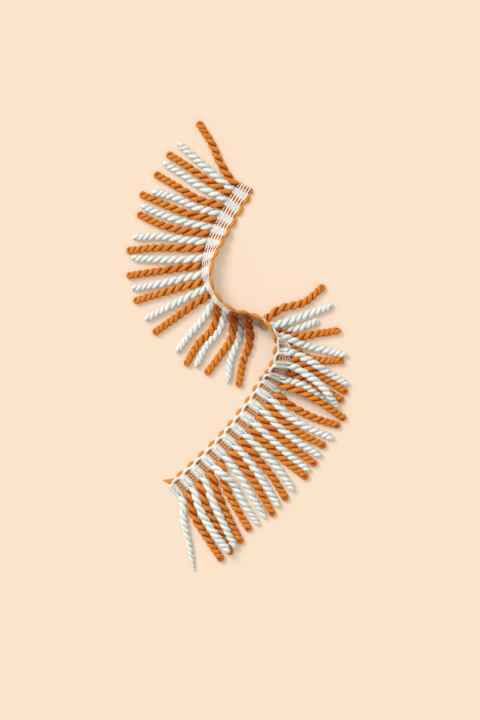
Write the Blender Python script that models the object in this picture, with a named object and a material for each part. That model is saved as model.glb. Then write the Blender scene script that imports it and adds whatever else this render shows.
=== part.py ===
"""Twisted rope fringe trim, a short length lying in an S with a half twist in its heading.

Metres, +Z up. The origin is at the middle of the surface that the trim lies on. The heading is a narrow
woven band. An orange and an off-white yarn cross it in turn, pass from crossing to crossing as loops along
its free edge, and hang from its other edge as ropes twisted from two strands.
"""
from math import cos, pi, radians, sin
from typing import NamedTuple

import bmesh
import bpy
import numpy as np
from mathutils import Vector

MM = 0.001

# Heading, in millimetres. A station is one orange crossing, and a white one lies half a station on.
PAIRS = 28                  # orange crossings, and as many white ones
BAND_THICKNESS = 2.4
BAND_GROOVE = 0.35          # how far the band draws in between two crossings
BAND_START = 0.8            # station of the first cut end
BAND_END = 28.72            # station of the last cut end
EDGE_INSET = 1.7            # band's free edge inside the line of the edge loops
FLAT_UNTIL = 3.5            # up to here the band lies flat on its white side
FLAT_FROM = 19.5            # from here it lies flat on its orange side
GAP = 0.5                   # clear space between the band and a strip

# Backing strips at the roots of the ropes, one for each colour, one over the other
STRIP_DEPTH = 1.6
STRIP_NEAR = 0.45           # distance of a strip from the band's middle plane
STRIP_FAR = 1.2
STRIP_ENDS = (0.2, 0.04)    # how far a strip runs on past its first root and its last, in stations
ROOT_HALF = 0.18            # half width of a rope's root, in stations

# Edge loops
ORANGE_LOOP = (0.9, 1.5)    # half width where the loop dips in, and at its crown
WHITE_LOOP = (0.9, 1.1)
ORANGE_OUT = (0.0, 0.9)     # loop's middle outside the free edge, where it dips in and at its crown
WHITE_OUT = (-0.4, 0.0)
LOOP_THICK = 2.0            # thickness of a loop where nothing presses it flat
LOOP_STEPS = 4              # rings in each station
LOOP_CUT = 0.6              # size of a loop's cut end against the loop
LOOSE_FROM = PAIRS + 0.25   # station from which the last loose end bends away
LOOSE_BEND = 6.0            # how far out it bends in one station

# Ropes
ROPE_STEPS = 28             # rings along a rope
ROPE_TURN = radians(-60.0)  # turn from ring to ring, left-handed
ROPE_WIDE = 3.1             # half of the two strands side by side
ROPE_THIN = 1.9             # half of one strand
ROPE_TAPER = 0.87           # size of the rope's end against its root
ROPE_SLOW = 1.3             # length of the first twists against the mean
ROPE_GROWTH = {1: 0.6, 2: 0.85, ROPE_STEPS: 0.5}   # size of the first and last rings
TIP_ROUND = 2.8             # length of the folded end past the listed point
FIRST_TURN = radians(30.0)  # turn of the first ring
SETTLED = (0.45, 0.75)      # shares of a rope's length where its middle and far heights are stated


class Section(NamedTuple):
    """One section of the heading: its free edge and the edge that the ropes leave, in millimetres."""

    station: float
    free_x: float
    free_y: float
    free_z: float
    root_x: float
    root_y: float
    root_z: float


class Lay(NamedTuple):
    """How one rope lies, in millimetres.

    The tip is the middle of the folded end. A bow is the rope's distance to the left of the straight line
    from root to tip, at a third and at two thirds of the way. A lift is its height over the surface that it
    would otherwise rest on, near the root, at the middle, past it and at the tip. Drop is the share of its
    length in which it comes down from the heading, and lead is how far it runs on straight from the heading.
    """

    tip_x: float
    tip_y: float
    bow_near: float = 0.0
    bow_far: float = 0.0
    lift: tuple = (0.0, 0.0, 0.0, 0.0)
    drop: float = 0.15
    lead: float = 1.0


SECTIONS = (
    Section(0.8, 12.4, 125.2, 1.2, 1.2, 130.4, 1.2),
    Section(1, 11.2, 123.2, 1.2, 0.0, 128.6, 1.2),
    Section(2, 4.4, 113.0, 1.2, -5.6, 120.7, 1.2),
    Section(3, -1.1, 103.4, 1.2, -11.4, 110.5, 1.2),
    Section(4, -6.0, 94.1, 3.0, -17.2, 99.4, 1.2),
    Section(5, -10.7, 85.5, 5.4, -22.1, 88.7, 1.3),
    Section(6, -14.8, 77.2, 8.2, -25.4, 77.0, 1.7),
    Section(7, -18.9, 68.0, 10.8, -27.4, 64.4, 2.6),
    Section(8, -20.8, 55.9, 14.0, -26.4, 51.8, 4.0),
    Section(9, -18.1, 44.9, 16.8, -20.8, 41.7, 5.2),
    Section(10, -11.4, 35.2, 17.4, -14.4, 31.5, 6.0),
    Section(11, -1.5, 28.6, 18.0, -2.9, 24.2, 6.6),
    Section(12, 10.0, 26.1, 19.3, 9.5, 20.6, 8.2),
    Section(13, 21.0, 20.6, 20.9, 17.4, 15.2, 10.2),
    Section(13.5, 25.4, 16.7, 21.9, 22.2, 13.0, 10.6),
    Section(14, 28.6, 12.2, 22.4, 29.3, 11.6, 10.5),
    Section(14.5, 30.8, 7.0, 21.6, 36.5, 6.6, 10.8),
    Section(15, 31.7, 1.2, 19.2, 41.7, 0.2, 11.8),
    Section(16, 29.8, -9.4, 15.9, 42.1, -9.8, 13.2),
    Section(17, 26.4, -18.8, 13.7, 39.2, -21.3, 12.7),
    Section(18, 22.1, -23.8, 8.2, 33.1, -30.5, 8.0),
    Section(19, 17.8, -30.1, 2.8, 28.3, -36.9, 3.0),
    Section(20, 12.2, -39.1, 1.2, 22.6, -46.2, 1.2),
    Section(22, -1.3, -58.2, 1.2, 8.7, -65.7, 1.2),
    Section(24, -15.6, -74.9, 1.2, -6.5, -83.5, 1.2),
    Section(26, -32.3, -91.5, 1.2, -23.5, -100.5, 1.2),
    Section(28, -49.4, -107.1, 1.2, -41.1, -116.6, 1.2),
    Section(28.72, -55.4, -112.4, 1.2, -47.2, -121.8, 1.2),
)

ORANGE_LAY = (
    Lay(-30.0, 177.0, 2.5, 0.0),
    Lay(-54.0, 152.5, 0.5, 0.0),
    Lay(-64.0, 136.5, 3.0, 1.5),
    Lay(-75.5, 120.5, 1.8, 1.5),
    Lay(-77.5, 104.5, 2.8, 3.2),
    Lay(-86.0, 76.0, -1.0, -1.7),
    Lay(-86.0, 56.0),
    Lay(-80.5, 36.0),
    Lay(-65.0, 11.0, -0.4, -0.3),
    Lay(-40.0, -14.0, 3.6, 0.0),
    Lay(-23.5, -21.0, 6.2, 4.0),
    Lay(1.5, -30.5, 2.0, 0.0),
    Lay(68.0, 46.5, 2.0, -3.0, lift=(6.1, 0.0, 0.0, 0.0), drop=0.06),
    Lay(80.5, 12.0, -5.4, -2.8, lift=(0.5, 0.0, 0.0, 0.0), drop=0.2, lead=0.0),
    Lay(83.0, -12.0, -5.0, -4.0, lift=(3.0, 0.0, 0.0, 0.0)),
    Lay(86.0, -36.5, 1.4, 0.6, lift=(6.5, 3.0, 0.5, 0.0)),
    Lay(83.0, -43.0, 1.0, 0.9, lift=(5.0, 0.0, 0.0, 0.0)),
    Lay(84.5, -57.5, 2.6, 2.2, lift=(6.5, 7.0, 5.5, 0.0)),
    Lay(80.0, -63.5, -3.4, -3.4),
    Lay(68.5, -79.5, -3.0, -2.8),
    Lay(61.5, -94.0, -1.4, -1.1),
    Lay(54.5, -104.5, -0.6, -0.9),
    Lay(38.5, -121.5, 1.9, 2.3),
    Lay(28.0, -134.0, 2.3, 1.8),
    Lay(9.0, -146.0, -3.2, -2.2),
    Lay(2.5, -156.0, -0.6, -0.6),
    Lay(-5.5, -164.5, -1.8, -0.8),
    Lay(-13.0, -170.0, -3.2, -2.0),
)

WHITE_LAY = (
    Lay(-45.5, 160.5, 0.8, 0.5),
    Lay(-57.0, 145.5, 1.1, 0.4),
    Lay(-66.0, 122.5, 0.9, -1.4),
    Lay(-74.5, 111.0, 1.8, 2.0),
    Lay(-81.0, 86.5, -0.5, -1.9),
    Lay(-82.0, 70.0, 1.7, 1.3),
    Lay(-82.0, 46.0, 0.6, 1.1),
    Lay(-71.5, 22.0, -0.3, -0.2),
    Lay(-47.0, -3.5, 1.3, 0.2),
    Lay(-32.0, -15.0, 2.8, -0.3),
    Lay(-7.0, -27.5, 1.6, -1.2),
    Lay(63.0, 19.0, -3.8, -5.4, drop=0.05, lead=0.2),
    Lay(74.5, 31.5, -0.5, -0.4, lift=(6.8, 2.5, 0.0, 0.0), drop=0.14, lead=0.0),
    Lay(85.5, -7.5, -1.8, -0.8, lift=(7.2, 1.0, 0.0, 0.0), drop=0.2),
    Lay(87.0, -30.0, 2.4, 0.9, lift=(7.5, 6.5, 1.5, 0.0)),
    Lay(79.0, -47.5, 3.8, 3.9, lift=(8.5, 7.5, 7.5, 1.2)),
    Lay(73.5, -49.2, 4.0, 3.8, lift=(5.5, 4.5, 1.5, 0.0)),
    Lay(61.0, -44.0, 1.9, 1.3, drop=0.2),
    Lay(74.5, -73.0, -3.7, -3.3),
    Lay(65.0, -87.0, -2.0, -2.0),
    Lay(56.0, -98.5, -0.4, -0.9),
    Lay(44.0, -114.0, 2.2, 2.3),
    Lay(32.5, -127.0, 2.3, 1.4),
    Lay(22.0, -136.0, 1.9, 0.7),
    Lay(16.5, -142.0, 4.1, 1.3, lift=(5.6, 0.0, 0.0, 0.0)),
    Lay(-2.5, -159.0, -0.4, -0.3, lift=(0.0, 3.0, 3.2, 2.4)),
    Lay(-7.5, -163.0, -2.8, -2.6, lift=(1.5, 4.5, 6.0, 6.0)),
    Lay(-34.5, -178.5, -0.7, 0.0),
)


class Curve:
    """A smooth curve through listed points, with a knot value for each."""

    def __init__(self, knots, points, level=()):
        """Level names the columns that must not swing past the listed values."""
        self.knots = np.array(knots, dtype=float)
        self.points = np.array(points, dtype=float)
        run = np.diff(self.knots)[:, None]
        rise = np.diff(self.points, axis=0) / run
        inner = (rise[:-1] * run[1:] + rise[1:] * run[:-1]) / (run[:-1] + run[1:])
        for column in level:
            before, after = rise[:-1, column], rise[1:, column]
            total = np.where(before * after > 0.0, before + after, 1.0)
            inner[:, column] = np.where(before * after > 0.0, 2.0 * before * after / total, 0.0)
        self.slopes = np.vstack([rise[:1], inner, rise[-1:]])

    def at(self, knot):
        """The point at a knot value."""
        i = int(np.clip(np.searchsorted(self.knots, knot) - 1, 0, len(self.knots) - 2))
        run = self.knots[i + 1] - self.knots[i]
        t = (knot - self.knots[i]) / run
        start = (2 * t**3 - 3 * t**2 + 1) * self.points[i] + (t**3 - 2 * t**2 + t) * run * self.slopes[i]
        end = (3 * t**2 - 2 * t**3) * self.points[i + 1] + (t**3 - t**2) * run * self.slopes[i + 1]
        return start + end


STATIONS = [row.station for row in SECTIONS]
FREE_EDGE = Curve(STATIONS, [row[1:4] for row in SECTIONS], level=(2,))
ROOT_EDGE = Curve(STATIONS, [row[4:7] for row in SECTIONS], level=(2,))


def unit(vector):
    """The vector at length one."""
    return vector / np.linalg.norm(vector)


def heading_frame(station):
    """Free edge, root edge and the directions across the heading, along it and out of its orange side."""
    free = FREE_EDGE.at(station)
    root = ROOT_EDGE.at(station)
    step = 0.05
    ahead = FREE_EDGE.at(station + step) + ROOT_EDGE.at(station + step)
    behind = FREE_EDGE.at(station - step) + ROOT_EDGE.at(station - step)
    across = unit(root - free)
    along = ahead - behind
    along = unit(along - across * along.dot(across))
    return free, root, across, along, np.cross(across, along)


def add_loft(mesh, rings, skip=()):
    """Closed rings of equal count joined by quads, with both ends closed.

    Skip holds (ring, side) pairs that stay open.
    """
    rows = [[mesh.verts.new(Vector(point) * MM) for point in ring] for ring in rings]
    count = len(rows[0])
    for k in range(len(rows) - 1):
        for side in range(count):
            if (k, side) in skip:
                continue
            after = (side + 1) % count
            mesh.faces.new((rows[k][side], rows[k][after], rows[k + 1][after], rows[k + 1][side]))
    mesh.faces.new(rows[0])
    mesh.faces.new(reversed(rows[-1]))
    return rows


def finish(mesh, name, material, collection):
    """Turns the faces out, splits them into triangles and puts the mesh in the collection as an object."""
    bmesh.ops.recalc_face_normals(mesh, faces=mesh.faces)
    broad = [face for face in mesh.faces if len(face.verts) > 3]
    bmesh.ops.triangulate(mesh, faces=broad, quad_method="BEAUTY")
    data = bpy.data.meshes.new(name)
    mesh.to_mesh(data)
    mesh.free()
    data.materials.append(material)
    part = bpy.data.objects.new(name, data)
    collection.objects.link(part)
    return part


def make_band(material, collection):
    """The woven band, drawn in a little between each crossing and the next."""
    stations = [BAND_START]
    stations += [1.0 + 0.25 * n for n in range(round((PAIRS - 0.5) / 0.25) + 1)]
    stations.append(BAND_END)
    rings = []
    for n, station in enumerate(stations):
        free, root, across, _, normal = heading_frame(station)
        inner = root - across * (STRIP_DEPTH + GAP)
        outer = free + across * EDGE_INSET
        groove = BAND_GROOVE if n % 2 == 0 else 0.0
        orange_side = BAND_THICKNESS / 2 - (groove if station < FLAT_FROM else 0.0)
        white_side = BAND_THICKNESS / 2 - (groove if station > FLAT_UNTIL else 0.0)
        rings.append((inner + normal * orange_side, outer + normal * orange_side,
                      outer - normal * white_side, inner - normal * white_side))
    mesh = bmesh.new()
    add_loft(mesh, rings)
    return finish(mesh, "heading_band", material, collection)


def crown(station, phase):
    """How near a loop is to its crown: 0 where it dips in, 1 at the crown."""
    return (1.0 - cos(2.0 * pi * (station - phase))) / 2.0


def make_loops(name, first, last, phase, sizes, out, side, material, collection):
    """The yarn that passes along the free edge from crossing to crossing.

    Side is 1 on the band's orange side and -1 on its white side. Where that side faces the surface, the yarn
    is pressed flat against it.
    """
    count = round((last - first) * LOOP_STEPS)
    rings = []
    for n in range(count + 1):
        station = first + n / LOOP_STEPS
        free, _, across, _, normal = heading_frame(station)
        share = crown(station, phase)
        width = sizes[0] + (sizes[1] - sizes[0]) * share
        loose = LOOSE_BEND * max(0.0, station - LOOSE_FROM)
        middle = free - across * (out[0] + (out[1] - out[0]) * share + loose)
        if n in (0, count):
            width *= LOOP_CUT
        thick = LOOP_THICK
        facing_down = -normal[2] * side
        if facing_down > 0.0:
            thick = min(thick, middle[2] / facing_down - STRIP_NEAR)
        half = thick / 2 * (width / sizes[1]) ** 0.5
        centre = middle + normal * side * (STRIP_NEAR + half)
        rings.append((centre + across * width, centre + normal * half,
                      centre - across * width, centre - normal * half))
    mesh = bmesh.new()
    add_loft(mesh, rings)
    return finish(mesh, name, material, collection)


def rope_path(station, side, lay, rest):
    """Evenly spaced points down a rope's middle, and its first direction and side direction.

    The rope leaves the heading straight, sinks to rest on the surface, and bows as the lay says.
    """
    _, root, across, along, normal = heading_frame(station)
    start = root + normal * side * (STRIP_NEAR + STRIP_FAR) / 2
    tip = np.array([lay.tip_x, lay.tip_y])
    chord = tip - start[:2]
    length = np.linalg.norm(chord)
    left = np.array([-chord[1], chord[0]]) / length
    plan = Curve((0.0, 1 / 3, 2 / 3, 1.0), (start[:2], start[:2] + chord / 3 + left * lay.bow_near,
                                            start[:2] + chord * 2 / 3 + left * lay.bow_far, tip))
    plan.slopes[0] = across[:2] * length * lay.lead
    near, middle, far, end = (rest + value for value in lay.lift)
    heights = ((start[2],), (near,), (middle,), (far,), (end,))
    height = Curve((0.0, lay.drop, *SETTLED, 1.0), heights, level=(0,))
    dense = []
    for t in np.linspace(0.0, 1.0, 121):
        dense.append((*plan.at(t), height.at(t)[0] - rest * (1.0 - ROPE_TAPER) * t))
    dense.append(dense[-1] + unit(np.array(dense[-1]) - np.array(dense[-4])) * TIP_ROUND)
    dense = np.array(dense)
    run = np.concatenate([[0.0], np.cumsum(np.linalg.norm(np.diff(dense, axis=0), axis=1))])
    shares = np.arange(ROPE_STEPS + 1) / ROPE_STEPS
    shares = ROPE_SLOW * shares + (1.0 - ROPE_SLOW) * shares**2
    points = np.column_stack([np.interp(shares * run[-1], run, dense[:, axis]) for axis in range(3)])
    return points, across, along


def rope_rings(station, side, lay, quarter):
    """The twisted rope's four-sided rings past its root. Quarter turns the rope a quarter turn on."""
    turns = [FIRST_TURN + ROPE_TURN * n for n in range(3)]
    reach = max(abs(cos(turn) if quarter else sin(turn)) for turn in turns)
    points, direction, sideways = rope_path(station, side, lay, ROPE_WIDE * reach)
    tangent = Vector(direction)
    sideways = Vector(sideways)
    rings = []
    for k in range(1, ROPE_STEPS + 1):
        ahead = points[min(k + 1, ROPE_STEPS)]
        new_tangent = Vector(unit(ahead - points[k - 1]))
        sideways.rotate(tangent.rotation_difference(new_tangent))
        tangent = new_tangent
        upward = tangent.cross(sideways)
        size = 1.0 + (ROPE_TAPER - 1.0) * k / ROPE_STEPS
        size *= ROPE_GROWTH.get(k, 1.0)
        axes = (ROPE_THIN, ROPE_WIDE) if quarter else (ROPE_WIDE, ROPE_THIN)
        ring = []
        for corner in range(4):
            turn = FIRST_TURN + ROPE_TURN * (k - 1) + corner * pi / 2
            radius = axes[corner % 2] * size
            ring.append(Vector(points[k]) + (sideways * cos(turn) + upward * sin(turn)) * radius)
        below = min(point.z for point in ring)
        if below < 0.0:
            ring = [point - Vector((0.0, 0.0, below)) for point in ring]
        rings.append(ring)
    return rings


def make_fringe(name, lays, first, side, quarter, material, collection):
    """All ropes of one colour, fused at their roots into a narrow strip beside the band."""
    stations = [first + n for n in range(len(lays))]
    cuts = [stations[0] - ROOT_HALF - STRIP_ENDS[0]]
    for station in stations:
        cuts += [station - ROOT_HALF, station + ROOT_HALF, station + 0.5]
    cuts[-1] = stations[-1] + ROOT_HALF + STRIP_ENDS[1]
    rings = []
    for station in cuts:
        _, root, across, _, normal = heading_frame(station)
        inner = root - across * STRIP_DEPTH
        near = normal * side * STRIP_NEAR
        far = normal * side * STRIP_FAR
        low, high = (near, far) if side > 0 else (far, near)
        rings.append((inner + low, inner + high, root + high, root + low))
    outer_side = 2
    open_faces = {(1 + 3 * n, outer_side) for n in range(len(stations))}
    mesh = bmesh.new()
    rows = add_loft(mesh, rings, skip=open_faces)
    for n, station in enumerate(stations):
        before, after = rows[1 + 3 * n], rows[2 + 3 * n]
        last = [after[2], before[2], before[3], after[3]]
        for ring in rope_rings(station, side, lays[n], quarter):
            new = [mesh.verts.new(point * MM) for point in ring]
            for corner in range(4):
                after_corner = (corner + 1) % 4
                mesh.faces.new((last[corner], last[after_corner], new[after_corner]))
                mesh.faces.new((last[corner], new[after_corner], new[corner]))
            last = new
        mesh.faces.new(last)
    return finish(mesh, name, material, collection)


def centre_on_origin(pieces):
    """Moves the pieces together, so that the origin is the middle of the lowest plane of the box round them."""
    corners = [vertex.co for piece in pieces for vertex in piece.data.vertices]
    low = Vector([min(corner[axis] for corner in corners) for axis in range(3)])
    high = Vector([max(corner[axis] for corner in corners) for axis in range(3)])
    shift = Vector(((low.x + high.x) / 2, (low.y + high.y) / 2, low.z))
    for piece in pieces:
        for vertex in piece.data.vertices:
            vertex.co -= shift


def make_material(name, colour, roughness):
    """A plain finish with a colour and a roughness."""
    material = bpy.data.materials.new(name)
    material.use_nodes = True
    shader = material.node_tree.nodes["Principled BSDF"]
    shader.inputs["Base Color"].default_value = (*colour, 1.0)
    shader.inputs["Roughness"].default_value = roughness
    shader.inputs["Metallic"].default_value = 0.0
    material.diffuse_color = (*colour, 1.0)
    return material


def main():
    """Builds every piece of the trim."""
    for old in list(bpy.data.objects):
        bpy.data.objects.remove(old, do_unlink=True)
    trim = bpy.data.collections.new("rope_fringe_trim")
    bpy.context.scene.collection.children.link(trim)
    orange = make_material("orange_yarn", (0.75, 0.24, 0.03), 0.85)
    white = make_material("off_white_yarn", (0.85, 0.87, 0.84), 0.85)
    warp = make_material("white_warp_thread", (0.88, 0.88, 0.85), 0.8)

    centre_on_origin([
        make_band(warp, trim),
        make_fringe("orange_fringe", ORANGE_LAY, 1.0, 1, False, orange, trim),
        make_fringe("white_fringe", WHITE_LAY, 1.5, -1, True, white, trim),
        make_loops("orange_edge_loops", 1.0, PAIRS + 0.75, 0.0, ORANGE_LOOP, ORANGE_OUT, 1, orange, trim),
        make_loops("white_edge_loops", 1.5, PAIRS + 0.5, 0.5, WHITE_LOOP, WHITE_OUT, -1, white, trim),
    ])


main()
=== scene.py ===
"""Looks of a twisted rope fringe trim that lies in an S with a half twist in its heading.

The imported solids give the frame. Every yarn of the trim is swept here along the routes that its solid
follows: the ropes of two strands, the wefts and warps of the heading, and the loops of yarn along its free
edge. Lengths are in millimetres until a mesh is made. A place along the heading is a station: 1 at the first
orange crossing, 2 at the next, and so on.
"""

import logging
from dataclasses import dataclass, field
from enum import Enum
from math import pi
from typing import NamedTuple, Sequence

import bpy
import numpy as np
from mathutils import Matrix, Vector


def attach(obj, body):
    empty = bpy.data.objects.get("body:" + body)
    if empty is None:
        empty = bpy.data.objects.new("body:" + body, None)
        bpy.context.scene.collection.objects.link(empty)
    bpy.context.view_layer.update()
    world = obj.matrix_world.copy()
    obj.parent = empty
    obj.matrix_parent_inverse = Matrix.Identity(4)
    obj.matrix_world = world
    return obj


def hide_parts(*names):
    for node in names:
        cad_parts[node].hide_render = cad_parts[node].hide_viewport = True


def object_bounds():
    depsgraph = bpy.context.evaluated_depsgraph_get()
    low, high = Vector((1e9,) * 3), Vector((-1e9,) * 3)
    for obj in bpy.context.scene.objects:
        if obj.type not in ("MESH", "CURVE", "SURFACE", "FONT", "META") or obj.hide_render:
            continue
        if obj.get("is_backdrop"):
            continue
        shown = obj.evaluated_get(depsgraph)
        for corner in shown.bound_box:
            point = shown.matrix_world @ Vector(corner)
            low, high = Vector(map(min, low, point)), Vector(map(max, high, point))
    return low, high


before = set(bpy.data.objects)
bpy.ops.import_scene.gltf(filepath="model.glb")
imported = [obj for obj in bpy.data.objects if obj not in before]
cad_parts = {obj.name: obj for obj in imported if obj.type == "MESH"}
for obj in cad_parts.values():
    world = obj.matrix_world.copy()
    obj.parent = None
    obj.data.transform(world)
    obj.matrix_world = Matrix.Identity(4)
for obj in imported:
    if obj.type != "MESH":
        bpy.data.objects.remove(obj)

LOG = logging.getLogger("rope_fringe_trim")
Pair = tuple[float, float]
Triple = tuple[float, float, float]

MM = 0.001
TINY = 1e-9
ORIGIN = (0.447, -0.709)        # the solids' origin in the tables' own frame
FLOOR_CLEAR = 0.02              # yarns are pressed flat this far above the floor

# Driving sizes of the trim
PAIRS = 28                      # orange crossings of the heading, and as many white ones
BAND_START = 0.8                # station of the first cut end
BAND_END = 28.72                # station of the last cut end
HEADING_WIDTH = 12.5            # from the free edge to the roots of the ropes

# How a yarn's shade depth turns into its share of the painted shade colour
PAINTED_SHADE_GAIN = 2.6
PAINTED_SHADE_FROM = 0.7
TURNED_SHADE = 0.64             # painted shade depth of yarns on a face that is turned from the light

# What sets one yarn off from the next
PATTERN_LENGTH = 400.0          # each yarn starts somewhere in this length of the threads' pattern
TONES = (0.3, 0.7)
CAP_GIRTH = 0.75                # the place on the map that a yarn's cut end takes


class Side(Enum):
    """The two sides of the heading."""

    ORANGE = 1
    WHITE = -1


class Section(NamedTuple):
    """One section of the heading: its free edge and the edge that the ropes leave."""

    station: float
    free_x: float
    free_y: float
    free_z: float
    root_x: float
    root_y: float
    root_z: float


class Lay(NamedTuple):
    """How one rope lies.

    The tip is the middle of the folded end. A bow is the rope's distance to the left of the straight line
    from root to tip, at a third and at two thirds of the way. A lift is its height over the surface that it
    would otherwise rest on, near the root, at the middle, past it and at the tip. Drop is the share of its
    length in which it comes down from the heading, and lead is how far it runs on straight from the heading.
    """

    tip_x: float
    tip_y: float
    bow_near: float = 0.0
    bow_far: float = 0.0
    lift: tuple[float, float, float, float] = (0.0, 0.0, 0.0, 0.0)
    drop: float = 0.15
    lead: float = 1.0


SECTIONS = (
    Section(0.8, 12.4, 125.2, 1.2, 1.2, 130.4, 1.2),
    Section(1, 11.2, 123.2, 1.2, 0.0, 128.6, 1.2),
    Section(2, 4.4, 113.0, 1.2, -5.6, 120.7, 1.2),
    Section(3, -1.1, 103.4, 1.2, -11.4, 110.5, 1.2),
    Section(4, -6.0, 94.1, 3.0, -17.2, 99.4, 1.2),
    Section(5, -10.7, 85.5, 5.4, -22.1, 88.7, 1.3),
    Section(6, -14.8, 77.2, 8.2, -25.4, 77.0, 1.7),
    Section(7, -18.9, 68.0, 10.8, -27.4, 64.4, 2.6),
    Section(8, -20.8, 55.9, 14.0, -26.4, 51.8, 4.0),
    Section(9, -18.1, 44.9, 16.8, -20.8, 41.7, 5.2),
    Section(10, -11.4, 35.2, 17.4, -14.4, 31.5, 6.0),
    Section(11, -1.5, 28.6, 18.0, -2.9, 24.2, 6.6),
    Section(12, 10.0, 26.1, 19.3, 9.5, 20.6, 8.2),
    Section(13, 21.0, 20.6, 20.9, 17.4, 15.2, 10.2),
    Section(13.5, 25.4, 16.7, 21.9, 22.2, 13.0, 10.6),
    Section(14, 28.6, 12.2, 22.4, 29.3, 11.6, 10.5),
    Section(14.5, 30.8, 7.0, 21.6, 36.5, 6.6, 10.8),
    Section(15, 31.7, 1.2, 19.2, 41.7, 0.2, 11.8),
    Section(16, 29.8, -9.4, 15.9, 42.1, -9.8, 13.2),
    Section(17, 26.4, -18.8, 13.7, 39.2, -21.3, 12.7),
    Section(18, 22.1, -23.8, 8.2, 33.1, -30.5, 8.0),
    Section(19, 17.8, -30.1, 2.8, 28.3, -36.9, 3.0),
    Section(20, 12.2, -39.1, 1.2, 22.6, -46.2, 1.2),
    Section(22, -1.3, -58.2, 1.2, 8.7, -65.7, 1.2),
    Section(24, -15.6, -74.9, 1.2, -6.5, -83.5, 1.2),
    Section(26, -32.3, -91.5, 1.2, -23.5, -100.5, 1.2),
    Section(28, -49.4, -107.1, 1.2, -41.1, -116.6, 1.2),
    Section(28.72, -55.4, -112.4, 1.2, -47.2, -121.8, 1.2),
)

ORANGE_LAY = (
    Lay(-30.0, 177.0, 2.5, 0.0),
    Lay(-54.0, 152.5, 0.5, 0.0),
    Lay(-64.0, 136.5, 3.0, 1.5),
    Lay(-75.5, 120.5, 1.8, 1.5),
    Lay(-77.5, 104.5, 2.8, 3.2),
    Lay(-86.0, 76.0, -1.0, -1.7),
    Lay(-86.0, 56.0),
    Lay(-80.5, 36.0),
    Lay(-65.0, 11.0, -0.4, -0.3),
    Lay(-40.0, -14.0, 4.6, 0.3),
    Lay(-23.5, -21.0, 6.2, 4.0),
    Lay(1.5, -30.5, 3.8, 0.6),
    Lay(68.0, 46.5, 2.0, -3.0, lift=(6.1, 0.0, 0.0, 0.0), drop=0.06),
    Lay(80.5, 12.0, -5.4, -2.8, lift=(0.5, 0.0, 0.0, 0.0), drop=0.2, lead=0.0),
    Lay(83.0, -12.0, -5.0, -4.0, lift=(3.0, 0.0, 0.0, 0.0)),
    Lay(86.0, -36.5, 1.4, 0.6, lift=(6.5, 3.0, 0.5, 0.0)),
    Lay(83.0, -43.0, 1.0, 0.9, lift=(5.0, 0.0, 0.0, 0.0)),
    Lay(84.5, -57.5, 2.6, 2.2, lift=(6.5, 7.0, 5.5, 0.0)),
    Lay(80.0, -63.5, -3.4, -3.4),
    Lay(68.5, -79.5, -3.0, -2.8),
    Lay(61.5, -94.0, -1.4, -1.1),
    Lay(54.5, -104.5, -0.6, -0.9),
    Lay(38.5, -121.5, 1.9, 2.3),
    Lay(28.0, -134.0, 2.3, 1.8),
    Lay(9.0, -146.0, -3.2, -2.2),
    Lay(2.5, -156.0, -0.6, -0.6),
    Lay(-5.5, -164.5, -1.8, -0.8),
    Lay(-13.0, -170.0, -3.2, -2.0),
)

WHITE_LAY = (
    Lay(-45.5, 160.5, 0.8, 0.5),
    Lay(-57.0, 145.5, 1.1, 0.4),
    Lay(-66.0, 122.5, 0.9, -1.4),
    Lay(-74.5, 111.0, 1.8, 2.0),
    Lay(-81.0, 86.5, -0.5, -1.9),
    Lay(-82.0, 70.0, 1.7, 1.3),
    Lay(-82.0, 46.0, 0.6, 1.1),
    Lay(-71.5, 22.0, -0.3, -0.2),
    Lay(-47.0, -3.5, 1.3, 0.2),
    Lay(-32.0, -15.0, 2.8, -0.3),
    Lay(-7.0, -27.5, 1.6, -1.2),
    Lay(63.0, 19.0, -3.8, -5.4, drop=0.05, lead=0.2),
    Lay(74.5, 31.5, -0.5, -0.4, lift=(6.8, 2.5, 0.0, 0.0), drop=0.14, lead=0.0),
    Lay(85.5, -7.5, -1.8, -0.8, lift=(7.2, 1.0, 0.0, 0.0), drop=0.2),
    Lay(87.0, -30.0, 2.4, 0.9, lift=(7.5, 6.5, 1.5, 0.0)),
    Lay(79.0, -47.5, 3.8, 3.9, lift=(8.5, 7.5, 7.5, 1.2)),
    Lay(73.5, -49.2, 4.0, 3.8, lift=(5.5, 4.5, 1.5, 0.0)),
    Lay(61.0, -44.0, 1.9, 1.3, drop=0.2),
    Lay(74.5, -73.0, -3.7, -3.3),
    Lay(65.0, -87.0, -2.0, -2.0),
    Lay(56.0, -98.5, -0.4, -0.9),
    Lay(44.0, -114.0, 2.2, 2.3),
    Lay(32.5, -127.0, 2.3, 1.4),
    Lay(22.0, -136.0, 1.9, 0.7),
    Lay(16.5, -142.0, 4.1, 1.3, lift=(5.6, 0.0, 0.0, 0.0)),
    Lay(-2.5, -159.0, -0.4, -0.3, lift=(0.0, 3.0, 3.2, 2.4)),
    Lay(-7.5, -163.0, -2.8, -2.6, lift=(1.5, 4.5, 6.0, 6.0)),
    Lay(-34.5, -178.5, -0.7, 0.0),
)


def unit(vectors: np.ndarray) -> np.ndarray:
    """The vectors at length one."""
    return vectors / np.linalg.norm(vectors, axis=-1, keepdims=True)


def smooth(share: np.ndarray) -> np.ndarray:
    """An even ramp from 0 to 1 with soft ends."""
    share = np.clip(share, 0.0, 1.0)
    return share * share * (3.0 - 2.0 * share)


def window(places: np.ndarray, begin: float, full: float, fading: float, end: float) -> np.ndarray:
    """A soft rise from 0 at begin to 1 at full, and a soft fall from fading to 0 at end."""
    return smooth((places - begin) / (full - begin)) * smooth((end - places) / (end - fading))


def each(value: np.ndarray, count: int) -> np.ndarray:
    """A value for each of a number of points, from one value or one for each."""
    return np.broadcast_to(np.asarray(value, dtype=float), (count,))


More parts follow.
